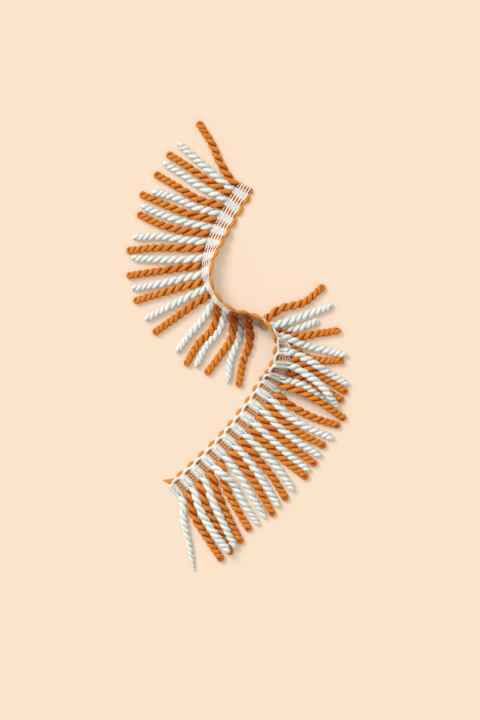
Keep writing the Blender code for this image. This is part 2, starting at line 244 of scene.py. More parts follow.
def shade_depth_for(shade: np.ndarray) -> np.ndarray:
    """The shade depth at which a yarn takes this share of its painted shade colour."""
    return (shade + PAINTED_SHADE_FROM) / PAINTED_SHADE_GAIN


def run_of(points: np.ndarray) -> np.ndarray:
    """Distance along a row of points, from the first one."""
    return np.concatenate([[0.0], np.cumsum(np.linalg.norm(np.diff(points, axis=0), axis=1))])


def rings_about(middle: np.ndarray, out: np.ndarray, wide: np.ndarray, high: np.ndarray) -> np.ndarray:
    """Closed rings about a line of points.

    Args:
        middle: the points.
        out: a direction out of the yarn's flat side at each point.
        wide: each corner's place sideways, one row for each point or one row for all.
        high: each corner's place outward, the same.

    Returns:
        Rings, corners and coordinates.
    """
    tangent = unit(np.gradient(middle, axis=0))
    sideways = unit(np.cross(out, tangent))
    upward = np.cross(tangent, sideways)
    return (middle[:, None, :] + sideways[:, None, :] * wide[:, :, None]
            + upward[:, None, :] * high[:, :, None])


def in_scene(name: str, data: bpy.types.ID) -> bpy.types.Object:
    """Puts a new object in the scene.

    Args:
        name: its name.
        data: its mesh, lamp or camera.

    Returns:
        The object.
    """
    made = bpy.data.objects.new(name, data)
    bpy.context.scene.collection.objects.link(made)
    return made


class Curve:
    """A smooth curve through listed points, with a knot value for each."""

    def __init__(self, knots: Sequence[float], points: Sequence[Sequence[float]],
                 level: Sequence[int] = ()) -> None:
        """Sets the curve up.

        Args:
            knots: one rising value for each point.
            points: the listed points.
            level: columns that must not swing past the listed values.
        """
        self.knots = np.array(knots, dtype=float)
        self.points = np.array(points, dtype=float)
        run = np.diff(self.knots)[:, None]
        rise = np.diff(self.points, axis=0) / run
        inner = (rise[:-1] * run[1:] + rise[1:] * run[:-1]) / (run[:-1] + run[1:])
        for column in level:
            before, after = rise[:-1, column], rise[1:, column]
            same_way = before * after > 0.0
            total = np.where(same_way, before + after, 1.0)
            inner[:, column] = np.where(same_way, 2.0 * before * after / total, 0.0)
        self.slopes = np.vstack([rise[:1], inner, rise[-1:]])

    def at(self, knots: np.ndarray) -> np.ndarray:
        """The points at knot values.

        Args:
            knots: any number of knot values.

        Returns:
            One row for each value.
        """
        knots = np.atleast_1d(np.asarray(knots, dtype=float))
        i = np.clip(np.searchsorted(self.knots, knots) - 1, 0, len(self.knots) - 2)
        run = (self.knots[i + 1] - self.knots[i])[:, None]
        t = (knots - self.knots[i])[:, None] / run
        start = (2 * t**3 - 3 * t**2 + 1) * self.points[i] + (t**3 - 2 * t**2 + t) * run * self.slopes[i]
        end = (3 * t**2 - 2 * t**3) * self.points[i + 1] + (t**3 - t**2) * run * self.slopes[i + 1]
        return start + end


class HeadingFrame(NamedTuple):
    """Edges and directions of the heading at a row of stations."""

    free: np.ndarray
    root: np.ndarray
    across: np.ndarray
    along: np.ndarray
    normal: np.ndarray


@dataclass
class HeadingRoute:
    """The route of the heading, which every yarn in it is laid out on."""

    sections: Sequence[Section] = SECTIONS
    step: float = 0.05
    averted: tuple[float, ...] = (15.3, 17.0, 17.0, 19.5)   # window in which its white side faces away from the light and takes painted shade
    free_edge: Curve = field(init=False)
    root_edge: Curve = field(init=False)

    def __post_init__(self) -> None:
        """Fits the two edges."""
        stations = [row.station for row in self.sections]
        self.free_edge = Curve(stations, [row[1:4] for row in self.sections], level=(2,))
        self.root_edge = Curve(stations, [row[4:7] for row in self.sections], level=(2,))

    def frame_at(self, stations: np.ndarray) -> HeadingFrame:
        """The edges and directions at stations.

        Args:
            stations: places along the heading.

        Returns:
            The frame, with one row for each station.
        """
        stations = np.atleast_1d(np.asarray(stations, dtype=float))
        free, root = self.free_edge.at(stations), self.root_edge.at(stations)
        ahead = self.free_edge.at(stations + self.step) + self.root_edge.at(stations + self.step)
        behind = self.free_edge.at(stations - self.step) + self.root_edge.at(stations - self.step)
        across = unit(root - free)
        along = ahead - behind
        along = unit(along - across * np.sum(along * across, axis=1, keepdims=True))
        return HeadingFrame(free, root, across, along, np.cross(across, along))

    def averted_at(self, stations: np.ndarray) -> np.ndarray:
        """How far the white side faces away from the light at stations, from 0 to 1, which sets its painted
        shade.
        """
        return window(stations, *self.averted)

    def place(self, stations: np.ndarray, across: np.ndarray,
              out: np.ndarray) -> tuple[np.ndarray, np.ndarray]:
        """Points of a yarn in the heading.

        Args:
            stations: places along the heading.
            across: place across it, from 0 at the free edge to HEADING_WIDTH at the roots.
            out: height over the middle plane, on the orange side.

        Returns:
            The points, and the direction out of the orange side at each.
        """
        at = self.frame_at(stations)
        width = np.linalg.norm(at.root - at.free, axis=1)
        across = np.asarray(across, dtype=float)
        inside = np.clip(across, 0.0, HEADING_WIDTH)
        reach = inside * width / HEADING_WIDTH + across - inside
        return at.free + at.across * reach[:, None] + at.normal * each(out, len(reach))[:, None], at.normal


@dataclass
class YarnMesh:
    """Yarns swept into one mesh.

    Girth and length are its map, each yarn has a tone, and each point carries a depth of painted shade, which
    stands for the shade where it is sunk against the next yarn or lies out of the light.
    """

    seed: int
    points: list[np.ndarray] = field(default_factory=list)
    quads: list[np.ndarray] = field(default_factory=list)
    coords: list[np.ndarray] = field(default_factory=list)
    tones: list[np.ndarray] = field(default_factory=list)
    shade_depths: list[np.ndarray] = field(default_factory=list)
    outward: list[np.ndarray] = field(default_factory=list)
    onward: list[np.ndarray] = field(default_factory=list)
    count: int = 0
    random: np.random.Generator = field(init=False)

    def __post_init__(self) -> None:
        """Starts the source of the yarns' unevenness."""
        self.random = np.random.default_rng(self.seed)

    def waver(self, run: np.ndarray, waves: Sequence[float]) -> np.ndarray:
        """An uneven swing between -1 and 1 along a yarn, from sines of the given waves per millimetre."""
        swings = [np.sin(run * 2.0 * pi * wave + self.random.uniform(0.0, 2.0 * pi)) for wave in waves]
        return sum(swings) / len(waves)

    def sweep(self, middle: np.ndarray, out: np.ndarray, wide: np.ndarray, high: np.ndarray,
              corners: int = 10, painted_groove_shade: np.ndarray = 0.0, painted_shade_depth: np.ndarray = 0.0) -> None:
        """Sweeps one yarn.

        Args:
            middle: points down its middle.
            out: a direction out of its flat side at each point.
            wide: half its width, one value or one at each point.
            high: half its height, the same.
            corners: corners of its section, an even number.
            painted_groove_shade: painted shade on its inner side, where the next yarn hides it, from 0 to 1,
                the same.
            painted_shade_depth: the depth of painted shade over the whole yarn, one value or one at each
                point.
        """
        count = len(middle)
        turns = 2.0 * pi * np.arange(corners) / corners
        rings = rings_about(middle, out, np.cos(turns)[None, :] * each(wide, count)[:, None],
                            np.sin(turns)[None, :] * each(high, count)[:, None])
        # painted shade: on the side hidden by the next yarn, or over the whole yarn
        hidden_side_shade = each(painted_groove_shade, count)[:, None] * (0.5 - 0.5 * np.sin(turns))
        self.add_rings(rings, run_of(middle), np.maximum(hidden_side_shade, each(painted_shade_depth, count)[:, None]))

    def add_rings(self, rings: np.ndarray, run: np.ndarray, shade_depth: np.ndarray) -> None:
        """Joins closed rings into one yarn with closed ends.

        Args:
            rings: rings, corners and coordinates.
            run: distance of each ring along the yarn.
            shade_depth: the depth of painted shade at each corner.
        """
        count, corners = rings.shape[:2]
        rings[:, :, 2] = np.maximum(rings[:, :, 2], FLOOR_CLEAR)
        offset = float(self.random.uniform(0.0, PATTERN_LENGTH))
        index = self.count + np.arange(count * corners).reshape(count, corners)
        after = np.roll(index, -1, axis=1)
        sides = np.stack([index[:-1], after[:-1], after[1:], index[1:]], axis=-1).reshape(-1, 4)
        low, start = np.meshgrid(np.arange(corners) / corners, run[:-1] + offset)
        high, end = low + 1.0 / corners, start + np.diff(run)[:, None]
        side_map = np.stack([np.stack(corner, -1) for corner in ((low, start), (high, start), (high, end),
                                                                 (low, end))], axis=2).reshape(-1, 4, 2)
        rungs = np.array([(j, j + 1, corners - 2 - j, corners - 1 - j) for j in range(corners // 2 - 1)])
        cap_map = np.broadcast_to(np.array([CAP_GIRTH, offset]), (2 * len(rungs), 4, 2))
        middle = rings.mean(axis=1)
        self.outward.append(unit(rings - middle[:, None, :] + TINY).reshape(-1, 3))
        self.onward.append(np.repeat(unit(np.gradient(middle, axis=0) + TINY), corners, axis=0))
        self.points.append(rings.reshape(-1, 3))
        self.quads.append(np.vstack([sides, index[0][rungs[:, ::-1]], index[-1][rungs]]))
        self.coords.append(np.vstack([side_map, cap_map]))
        self.tones.append(np.full(count * corners, float(self.random.uniform(*TONES))))
        self.shade_depths.append(np.broadcast_to(shade_depth, (count, corners)).ravel())
        self.count += count * corners

    def build(self, name: str, finish: "YarnFinish", nodes: Sequence[str] = ()) -> bpy.types.Object:
        """Makes the piece, dresses it and lets it ride with the trim.

        Args:
            name: the piece's name.
            finish: its finish.
            nodes: the solids that it stands for.

        Returns:
            The new object, in the scene.
        """
        points = np.vstack(self.points)
        points[:, :2] -= np.array(ORIGIN)
        quads = np.vstack(self.quads).astype(np.int32)
        mesh = bpy.data.meshes.new(name)
        mesh.vertices.add(len(points))
        mesh.vertices.foreach_set("co", (points * MM).astype(np.float32).ravel())
        mesh.loops.add(quads.size)
        mesh.loops.foreach_set("vertex_index", quads.ravel())
        mesh.polygons.add(len(quads))
        mesh.polygons.foreach_set("loop_start", np.arange(0, quads.size, 4, dtype=np.int32))
        mesh.update(calc_edges=True)
        mesh.polygons.foreach_set("use_smooth", np.ones(len(quads), dtype=bool))
        uv_map = mesh.uv_layers.new(name="yarn")
        uv_map.uv.foreach_set("vector", np.vstack(self.coords).astype(np.float32).ravel())
        for label, values in (("tone", self.tones), ("shade_depth", self.shade_depths)):
            layer = mesh.attributes.new(label, "FLOAT", "POINT")
            layer.data.foreach_set("value", np.concatenate(values).astype(np.float32))
        mesh.materials.append(finish.material())
        piece = in_scene(name, mesh)
        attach(piece, "root")
        if nodes:
            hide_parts(*nodes)
        LOG.info("%s: %d yarns, %d triangles", name, len(self.tones), 2 * len(quads))
        return piece


class NodeSheet:
    """A node tree that is filled by short calls."""

    MIX_INPUTS = (0, 6, 7)      # the places of a mixing node's share and of its two colours
    MIX_OUTPUT = 2

    def __init__(self, tree: bpy.types.NodeTree) -> None:
        """Keeps the tree."""
        self.tree = tree

    @staticmethod
    def fill(node: bpy.types.Node, **values: object) -> bpy.types.Node:
        """Fills in a node.

        Args:
            node: the node.
            values: its properties by name, or its inputs by name with spaces as underscores.

        Returns:
            The node.
        """
        for name, value in values.items():
            if hasattr(node, name):
                setattr(node, name, value)
            else:
                node.inputs[name.replace("_", " ")].default_value = value
        return node

    def add(self, kind: str, **values: object) -> bpy.types.Node:
        """Adds a node of this type and fills it in."""
        return self.fill(self.tree.nodes.new(kind), **values)

    def join(self, value: object, target: bpy.types.NodeSocket) -> None:
        """Gives a socket its value.

        Args:
            value: a socket to link, a number or a colour, or None for what the socket has.
            target: the socket.
        """
        if isinstance(value, bpy.types.NodeSocket):
            self.tree.links.new(value, target)
        elif value is not None:
            target.default_value = value

    def math(self, operation: str, first: object, second: object = None, third: object = None,
             clamp: bool = False) -> bpy.types.NodeSocket:
        """Adds a sum.

        Args:
            operation: its name.
            first: a socket or a number.
            second: the same, where the sum has one.
            third: the same, where the sum has one.
            clamp: whether the result is kept between 0 and 1.

        Returns:
            The result's socket.
        """
        node = self.add("ShaderNodeMath", operation=operation, use_clamp=clamp)
        for place, value in enumerate((first, second, third)):
            self.join(value, node.inputs[place])
        return node.outputs[0]

    def mix(self, share: object, first: Sequence[float], second: Sequence[float]) -> bpy.types.NodeSocket:
        """Mixes two colours.

        Args:
            share: a socket or a number, 0 for the first colour.
            first: a socket or a colour.
            second: a socket or a colour.

        Returns:
            The mixed colour's socket.
        """
        node = self.add("ShaderNodeMix", data_type="RGBA")
        for place, value in zip(self.MIX_INPUTS, (share, first, second)):
            self.join(value, node.inputs[place])
        return node.outputs[self.MIX_OUTPUT]


def new_material(name: str) -> tuple[bpy.types.Material, NodeSheet, bpy.types.Node]:
    """Starts a material.

    Args:
        name: its name.

    Returns:
        The material, the sheet of its nodes, and its shader.
    """
    material = bpy.data.materials.new(name)
    material.use_nodes = True
    return material, NodeSheet(material.node_tree), material.node_tree.nodes["Principled BSDF"]


class FibreLay:
    """The threads on a yarn's surface, the fibres in them and the share of painted shade, as a node group
    that all yarns share.
    """

    NAME = "fibre_lay"
    INPUTS = (("Threads", 8.0), ("Lay", 0.25), ("Wander", 0.4))
    OUTPUTS = ("Ridge", "Fibre", "Patch", "Painted_Shade")
    PATCH = (0.7, 0.4, 0.7)         # how fine the noise is round the yarn and along it, and how rough
    STREAK = (4.6, 0.5, 0.65)
    DETAIL = 4.0
    THREAD_EDGE = 0.6               # under 1, threads are wide and the lines between them narrow

    @classmethod
    def noise(cls, sheet: NodeSheet, bearing: bpy.types.NodeSocket, length: bpy.types.NodeSocket,
              kind: Triple) -> bpy.types.NodeSocket:
        """Noise that closes on itself round the yarn.

        Args:
            sheet: the group's nodes.
            bearing: the angle round the yarn.
            length: the place along it.
            kind: how fine the noise is round the yarn and along it, and how rough.

        Returns:
            The noise's socket.
        """
        around, onward, rough = kind
        texture = sheet.add("ShaderNodeTexNoise", noise_dimensions="3D", Scale=1.0, Detail=cls.DETAIL,
                            Roughness=rough)
        place = sheet.add("ShaderNodeCombineXYZ")
        sheet.join(sheet.math("MULTIPLY", sheet.math("COSINE", bearing), around), place.inputs["X"])
        sheet.join(sheet.math("MULTIPLY", sheet.math("SINE", bearing), around), place.inputs["Y"])
        sheet.join(sheet.math("MULTIPLY", length, onward), place.inputs["Z"])
        sheet.join(place.outputs[0], texture.inputs["Vector"])
        return texture.outputs["Fac"]

    @classmethod
    def group(cls) -> bpy.types.NodeTree:
        """The node group, made at its first use.

        Returns:
            A group that takes a yarn's map and gives Ridge, 1 on a thread and 0 between two; Fibre, a fine
            streak along the threads; Patch, a slow change along the yarn; and Painted_Shade, the share of the
            painted shade colour, which grows to 1 as the given shade depth does.
        """
        found = bpy.data.node_groups.get(cls.NAME)
        if found:
            return found
        tree = bpy.data.node_groups.new(cls.NAME, "ShaderNodeTree")
        face = tree.interface
        face.new_socket("Map", in_out="INPUT", socket_type="NodeSocketVector")
        face.new_socket("Depth", in_out="INPUT", socket_type="NodeSocketFloat")
        for name, value in cls.INPUTS:
            face.new_socket(name, in_out="INPUT", socket_type="NodeSocketFloat").default_value = value
        for name in cls.OUTPUTS:
            face.new_socket(name, in_out="OUTPUT", socket_type="NodeSocketFloat")
        sheet = NodeSheet(tree)
        given, result = sheet.add("NodeGroupInput"), sheet.add("NodeGroupOutput")
        parts = sheet.add("ShaderNodeSeparateXYZ")
        sheet.join(given.outputs["Map"], parts.inputs[0])
        girth, length = parts.outputs["X"], parts.outputs["Y"]
        patch = cls.noise(sheet, sheet.math("MULTIPLY", girth, 2.0 * pi), length, cls.PATCH)

        around = sheet.math("MULTIPLY", girth, given.outputs["Threads"])
        onward = sheet.math("MULTIPLY", length, given.outputs["Lay"])
        straying = sheet.math("MULTIPLY", sheet.math("SUBTRACT", patch, 0.5), given.outputs["Wander"])
        phase = sheet.math("ADD", sheet.math("ADD", around, onward), straying)
        swing = sheet.math("COSINE", sheet.math("MULTIPLY", phase, 2.0 * pi))
        ridge = sheet.math("POWER", sheet.math("MULTIPLY_ADD", swing, 0.5, 0.5), cls.THREAD_EDGE)

        per_thread = sheet.math("DIVIDE", given.outputs["Lay"], given.outputs["Threads"])
        followed = sheet.math("MULTIPLY", sheet.math("MULTIPLY_ADD", length, per_thread, girth), 2.0 * pi)
        fibre = cls.noise(sheet, followed, length, cls.STREAK)
        # the share of painted shade, from the shade depth
        painted_shade = sheet.math("MULTIPLY_ADD", given.outputs["Depth"], PAINTED_SHADE_GAIN, -PAINTED_SHADE_FROM, clamp=True)
        for name, socket in zip(cls.OUTPUTS, (ridge, fibre, patch, painted_shade)):
            sheet.join(socket, result.inputs[name])
        return tree


@dataclass(frozen=True)
class YarnFinish:
    """A spun yarn: its colours, its painted shade, its threads and its nap."""

    name: str
    slot: str
    # light and deep: the yarn's colours, mixed by random patches, tone and fibres, and by its threads, with
    # painted shade in the lines between threads
    light: Triple
    deep: Triple
    # the painted shade colour, which a yarn takes as far as its shade depth asks
    shaded: Triple
    threads: float = 8.0
    lay: float = 0.25
    wander: float = 0.5
    # how much of the painted shade colour a fully shaded spot takes
    painted_shade_share: float = 0.8
    relief: float = 0.3
    roughness: float = 0.9
    sheen: float = 0.1
    sheen_tint: Triple = (1.0, 1.0, 1.0)
    soft: float = 0.0
    soft_reach: Triple = (1.0, 1.0, 1.0)        # how far light spreads inside, in millimetres

    patch_part, tone_part = 1.4, 0.4            # what the slow patches and the yarn's own tone add to the dye
    ridge_part, fibre_part = 0.5, 1.5           # what threads and fibres add to the light colour; the darker lines between threads are painted shade
    contrast, level = 0.8, -1.02                # how the two sums turn into the light colour's share
    rough_spread = 0.12
    ridge_height, fibre_height = 0.5, 0.8       # shares of the relief
    bump_strength, gloss, sheen_roughness = 0.9, 0.12, 0.6

    def material(self) -> bpy.types.Material:
        """The yarn's material, made at its first use.

        Returns:
            The material.
        """
        found = bpy.data.materials.get(self.name)
        if found:
            return found
        material, sheet, shader = new_material(self.name)
        lay = sheet.add("ShaderNodeGroup", node_tree=FibreLay.group(), Threads=self.threads, Lay=self.lay,
                        Wander=self.wander)
        sheet.join(sheet.add("ShaderNodeUVMap", uv_map="yarn").outputs[0], lay.inputs["Map"])
        tone = sheet.add("ShaderNodeAttribute", attribute_name="tone")
        shade_depth = sheet.add("ShaderNodeAttribute", attribute_name="shade_depth")
        sheet.join(shade_depth.outputs["Fac"], lay.inputs["Depth"])
        ridge, fibre, patch, painted_shade = (lay.outputs[name] for name in FibreLay.OUTPUTS)

        dyed = sheet.math("ADD", sheet.math("MULTIPLY", patch, self.patch_part),
                          sheet.math("MULTIPLY", tone.outputs["Fac"], self.tone_part))
        # threads light on their ridges, with painted shade in the lines between them, and random fibre
        # streaks
        lit = sheet.math("ADD", sheet.math("MULTIPLY", ridge, self.ridge_part),
                         sheet.math("MULTIPLY", fibre, self.fibre_part))
        share = sheet.math("MULTIPLY_ADD", lit, self.contrast,
                           sheet.math("MULTIPLY_ADD", dyed, self.contrast, self.level), clamp=True)
        colour = sheet.mix(share, (*self.deep, 1.0), (*self.light, 1.0))
        # painted shade toward the shaded colour, as far as the shade depth asks
        colour = sheet.mix(sheet.math("MULTIPLY", painted_shade, self.painted_shade_share), colour, (*self.shaded, 1.0))
        sheet.join(colour, shader.inputs["Base Color"])
        rough = sheet.math("MULTIPLY_ADD", fibre, self.rough_spread, self.roughness - self.rough_spread / 2)
        sheet.join(rough, shader.inputs["Roughness"])

        height = sheet.math("MULTIPLY_ADD", fibre, self.fibre_height,
                            sheet.math("MULTIPLY", ridge, self.ridge_height))
        bump = sheet.add("ShaderNodeBump", Strength=self.bump_strength, Distance=self.relief * MM)
        sheet.join(height, bump.inputs["Height"])
        sheet.join(bump.outputs[0], shader.inputs["Normal"])
        sheet.fill(shader, Specular_IOR_Level=self.gloss, Subsurface_Weight=self.soft,
                   Subsurface_Radius=self.soft_reach, Subsurface_Scale=MM, Sheen_Weight=self.sheen,
                   Sheen_Roughness=self.sheen_roughness, Sheen_Tint=(*self.sheen_tint, 1.0))
        material.diffuse_color = (*self.light, 1.0)
        return material


ORANGE_YARN = YarnFinish(
    "orange_yarn_looks", "orange_yarn", light=(0.80, 0.305, 0.032), deep=(0.48, 0.098, 0.007),
    shaded=(0.26, 0.024, 0.004), relief=0.42, sheen=0.06, sheen_tint=(1.0, 0.5, 0.2), soft=0.6,
    soft_reach=(1.1, 0.35, 0.1))
PRESSED_ORANGE_YARN = YarnFinish(
    "pressed_orange_yarn_looks", "orange_yarn", light=(0.81, 0.335, 0.034), deep=(0.50, 0.12, 0.009),
    shaded=(0.22, 0.035, 0.008), relief=0.3, sheen=0.05, sheen_tint=(1.0, 0.6, 0.3), soft=0.4,
    soft_reach=(0.9, 0.35, 0.1))
WHITE_YARN = YarnFinish(
    "off_white_yarn_looks", "off_white_yarn", light=(0.72, 0.755, 0.715), deep=(0.63, 0.665, 0.62),
    shaded=(0.29, 0.205, 0.14), painted_shade_share=0.9, relief=0.42, sheen=0.03, soft=0.85, soft_reach=(2.0, 2.0, 1.8))
# the off-white yarn pressed flat, painted lighter than in the ropes for the light on its flat, upturned face;
# its shaded colour is a brown painted shade
PRESSED_WHITE_PAINTED_LIGHTER = YarnFinish(
    "pressed_white_painted_lighter_looks", "off_white_yarn", light=(0.835, 0.875, 0.84), deep=(0.70, 0.73, 0.69),
    shaded=(0.41, 0.24, 0.115), painted_shade_share=1.0, relief=0.2, sheen=0.05, soft=0.6, soft_reach=(1.0, 1.0, 0.9))
WARP_THREAD = YarnFinish(
    "white_warp_looks", "white_warp_thread", light=(0.865, 0.885, 0.835), deep=(0.76, 0.775, 0.715),
    shaded=(0.39, 0.22, 0.105), threads=4.0, lay=1.2, relief=0.06, painted_shade_share=1.0, sheen=0.05, soft=0.5,
    soft_reach=(0.8, 0.8, 0.7))


@dataclass
class RopeFringe:
    """All ropes of one colour, each one yarn folded in two and twisted on itself."""

    piece: str
    node: str
    lays: Sequence[Lay]
    first: float
    side: Side
    finish: YarnFinish
    route: HeadingRoute
    seed: int
    # Ropes that differ, by station
    tucked: dict[float, Pair] = field(default_factory=dict)         # starts moved back, and their height
    fuller: dict[float, float] = field(default_factory=dict)        # this much thicker near the root
    pointed: dict[float, float] = field(default_factory=dict)       # the end's share of the usual thickness
    shaded_roots: dict[float, Pair] = field(default_factory=dict)   # painted shade near the root: how dark, and for what length
    # The rope
    leg_steps: int = 92
    fold_steps: int = 9
    corners: int = 14
    strand_out: float = 1.8         # from the rope's middle to a strand's middle
    strand_radius: float = 1.89
    flattened: float = 0.03         # how much wider and lower a strand is than round
    taper: float = 0.86
    rest: float = 3.1
    lift_at: Triple = (0.45, 0.75, 1.0)     # shares of the length that the last three lifts belong to
    path_steps: int = 121
    twists: float = 28 / 6          # turns of the two strands about each other, left-handed
    point_twists: float = 2.0       # more turns in a pointed rope, for the whole of its thickness
    slow: float = 1.3               # length of the first twists against the mean
    made_up: float = 12 / 28        # share of the twists in which a quarter turn of late start is made up
    wander: float = 0.35            # uneven twist, in radians
    wander_waves: Pair = (0.03, 0.055)
    wander_from: float = 0.1        # share of the length at each end in which it grows
    unevenness: float = 0.08
    uneven_waves: Triple = (0.05, 0.13, 0.3)
    painted_groove_shade: float = 1.0            # painted shade on the strands' hidden sides
    tip_painted_groove_shade: float = 1.0        # the share of that at the fold
    tip_reach: float = 13.0         # and the length in which it changes
    shade_hold: float = 0.35        # share of a root's painted shade length that is fully dark
    # Its start
    strip_out: float = 0.62         # height over the heading's middle plane
    inside: float = 2.0             # length inside the heading
    dip: float = 0.5                # how deep the start is sunk in the heading
    inner_rows: tuple[Pair, ...] = ((1.0, 1.0), (0.8, 0.6), (0.4, 0.2))     # shares of these two
    start_out: float = 1.53         # from the rope's middle to a strand's middle
    start_half: Pair = (1.08, 0.55)     # half a strand's width and height
    full_at: float = 5.0            # length in which a strand grows to its full size
    high_later: float = 1.3         # its height takes this much longer
    fuller_until: float = 0.45      # share of the length
    tucked_lead: float = 0.1        # lead of a start under the heading
    over_out: float = 0.7           # the same sizes for a start that lies over the heading
    over_half: Pair = (1.6, 1.2)
    full_over: float = 3.2
    over_round: float = 1.5         # length of the rounded end there
    over_end: float = 0.15          # its size against the strand's
    # Its fold
    upright: float = 0.0            # 0.5 where the fold stands on edge
    tip_round: float = 2.8          # length of the folded end past the listed tip
    eye_out: float = 1.55           # from the rope's middle to a strand's middle
    eye_radius: float = 1.72
    eye_from: float = 0.93
    flat_from: float = 0.82         # share of the length from which the strands turn to lie side by side

    def path(self, station: float, lay: Lay) -> tuple[np.ndarray, np.ndarray, np.ndarray]:
        """The rope's middle, from inside the heading to its fold.

        Args:
            station: where it leaves the heading.
            lay: how it lies.

        Returns:
            The points, the share of the twists at each, and the first sideways direction.
        """
        _, root, across, along, normal = (rows[0] for rows in self.route.frame_at(station))
        back, out = self.tucked.get(station, (0.0, self.strip_out))
        start = root + normal * out * self.side.value - across * back
        tip = np.array([lay.tip_x, lay.tip_y])
        chord = tip - start[:2]
        length = float(np.linalg.norm(chord))
        left = np.array([-chord[1], chord[0]]) / length
        plan = Curve((0.0, 1 / 3, 2 / 3, 1.0), (start[:2], start[:2] + chord / 3 + left * lay.bow_near,
                                                start[:2] + chord * 2 / 3 + left * lay.bow_far, tip))
        plan.slopes[0] = across[:2] * length * (self.tucked_lead if back and out < 0.0 else lay.lead)
        heights = [(start[2],), *((self.rest + lift,) for lift in lay.lift)]
        height = Curve((0.0, lay.drop, *self.lift_at), heights, level=(0,))
        shares = np.linspace(0.0, 1.0, self.path_steps)
        sinking = self.rest * np.maximum(1.0 - self.size_at(station, shares), 0.0)
        dense = np.column_stack([plan.at(shares), height.at(shares)[:, 0] - sinking])
        to_tip = run_of(dense)[-1]
        dense = np.vstack([dense, dense[-1] + unit(dense[-1] - dense[-4]) * self.tip_round])
        run = run_of(dense)
        length = to_tip + self.tip_round - self.eye_out - self.eye_radius
        shares = np.linspace(0.0, 1.0, self.leg_steps)
        eased = self.slow * shares + (1.0 - self.slow) * shares**2
        points = np.column_stack([np.interp(eased * length, run, dense[:, axis]) for axis in range(3)])
        inward, deep = np.array(self.inner_rows).T[:, :, None]
        inner = start - across * inward * self.inside - normal * self.side.value * deep * self.dip
        return np.vstack([inner, points]), np.concatenate([0.0 * inward[:, 0], shares]), along

    def size_at(self, station: float, shares: np.ndarray) -> np.ndarray:
        """The rope's thickness against that at its root.

        Args:
            station: where it leaves the heading.
            shares: shares of its length.

        Returns:
            The thickness at each.
        """
        fuller = self.fuller.get(station, 0.0) * smooth(1.0 - shares / self.fuller_until)
        pointed = (1.0 - self.pointed.get(station, 1.0)) * self.taper * shares**2
        return 1.0 + fuller + (self.taper - 1.0) * shares - pointed

    def turn(self, station: float, shares: np.ndarray) -> np.ndarray:
        """How far the strands have turned about each other.

        Args:
            station: where the rope leaves the heading.
            shares: shares of the twists.

        Returns:
            The angle of the first strand from the sideways direction.
        """
        whole = 2.0 * pi * (self.twists + self.point_twists * (1.0 - self.pointed.get(station, 1.0)))
        if self.side is Side.ORANGE:
            begin, late = 0.0, pi / 2
        else:
            begin, late = pi, 0.0
        last = begin + late - whole
        flat = (np.round(last / pi - self.upright) + self.upright) * pi
        settle = smooth((shares - self.flat_from) / (1.0 - self.flat_from)) * (flat - last)
        return begin + np.minimum(shares / self.made_up, 1.0) * late - whole * shares + settle

    @staticmethod
    def radial(points: np.ndarray, turn: np.ndarray, sideways: np.ndarray) -> np.ndarray:
        """The direction from the rope's middle to its first strand.

        Args:
            points: the rope's middle.
            turn: how far the strands have turned at each point.
            sideways: the first sideways direction.

        Returns:
            One direction for each point.
        """
        tangents = unit(np.gradient(points, axis=0))
        carried, last, rows = Vector(sideways), Vector(tangents[0]), []
        for tangent in tangents:
            carried.rotate(last.rotation_difference(Vector(tangent)))
            last = Vector(tangent)
            rows.append(tuple(carried))
        across = unit(np.array(rows))
        return across * np.cos(turn)[:, None] + np.cross(tangents, across) * np.sin(turn)[:, None]

    def sweep_rope(self, mesh: YarnMesh, station: float, lay: Lay) -> None:
        """Sweeps one rope: down one strand, round the fold and back up the other.

        Args:
            mesh: the mesh to add to.
            station: where the rope leaves the heading.
            lay: how it lies.
        """
        points, shares, sideways = self.path(station, lay)
        run = run_of(points)
        wander = (mesh.waver(run, self.wander_waves) * self.wander * smooth(shares / self.wander_from)
                  * smooth((1.0 - shares) / self.wander_from))
        radial = self.radial(points, self.turn(station, shares) + wander, sideways)
        size = self.size_at(station, shares)
        end = self.pointed.get(station, 1.0)
        opening = smooth((shares - self.eye_from) / (1.0 - self.eye_from))
        out = self.strand_out * size
        out = out + (self.eye_out * end - out) * opening
        radius = self.strand_radius * size
        radius = radius + (self.eye_radius * end - radius) * opening
        over = self.tucked.get(station, (0.0, 0.0))[1] > self.strip_out
        full_at, start_out, (first_wide, first_high) = (
            (self.full_over, self.over_out, self.over_half) if over
            else (self.full_at, self.start_out, self.start_half))
        out = start_out + (out - start_out) * smooth(run / full_at)
        onward = unit(points[-1] - points[-2])
        fold = np.linspace(0.0, pi, self.fold_steps + 2)[1:-1]
        fold_out = radial[-1] * np.cos(fold)[:, None] + onward * np.sin(fold)[:, None]
        middle = np.vstack([points + radial * out[:, None], points[-1] + fold_out * out[-1],
                            (points - radial * out[:, None])[::-1]])
        away = np.vstack([radial, fold_out, -radial[::-1]])
        radius = np.concatenate([radius, np.full(len(fold), radius[-1]), radius[::-1]])
        run = run_of(middle)
        radius = radius * (1.0 + self.unevenness * mesh.waver(run, self.uneven_waves))
        from_start = np.minimum(run, run[-1] - run)
        wide, high = radius * (1.0 + self.flattened), radius * (1.0 - self.flattened)
        wide = first_wide + (wide - first_wide) * smooth(from_start / full_at)
        high = first_high + (high - first_high) * smooth(from_start / (self.high_later * full_at))
        if over:
            round_end = np.sqrt(1.0 - np.clip(1.0 - from_start / self.over_round, 0.0, 1.0) ** 2)
            round_end = self.over_end + (1.0 - self.over_end) * round_end
            wide, high = wide * round_end, high * round_end
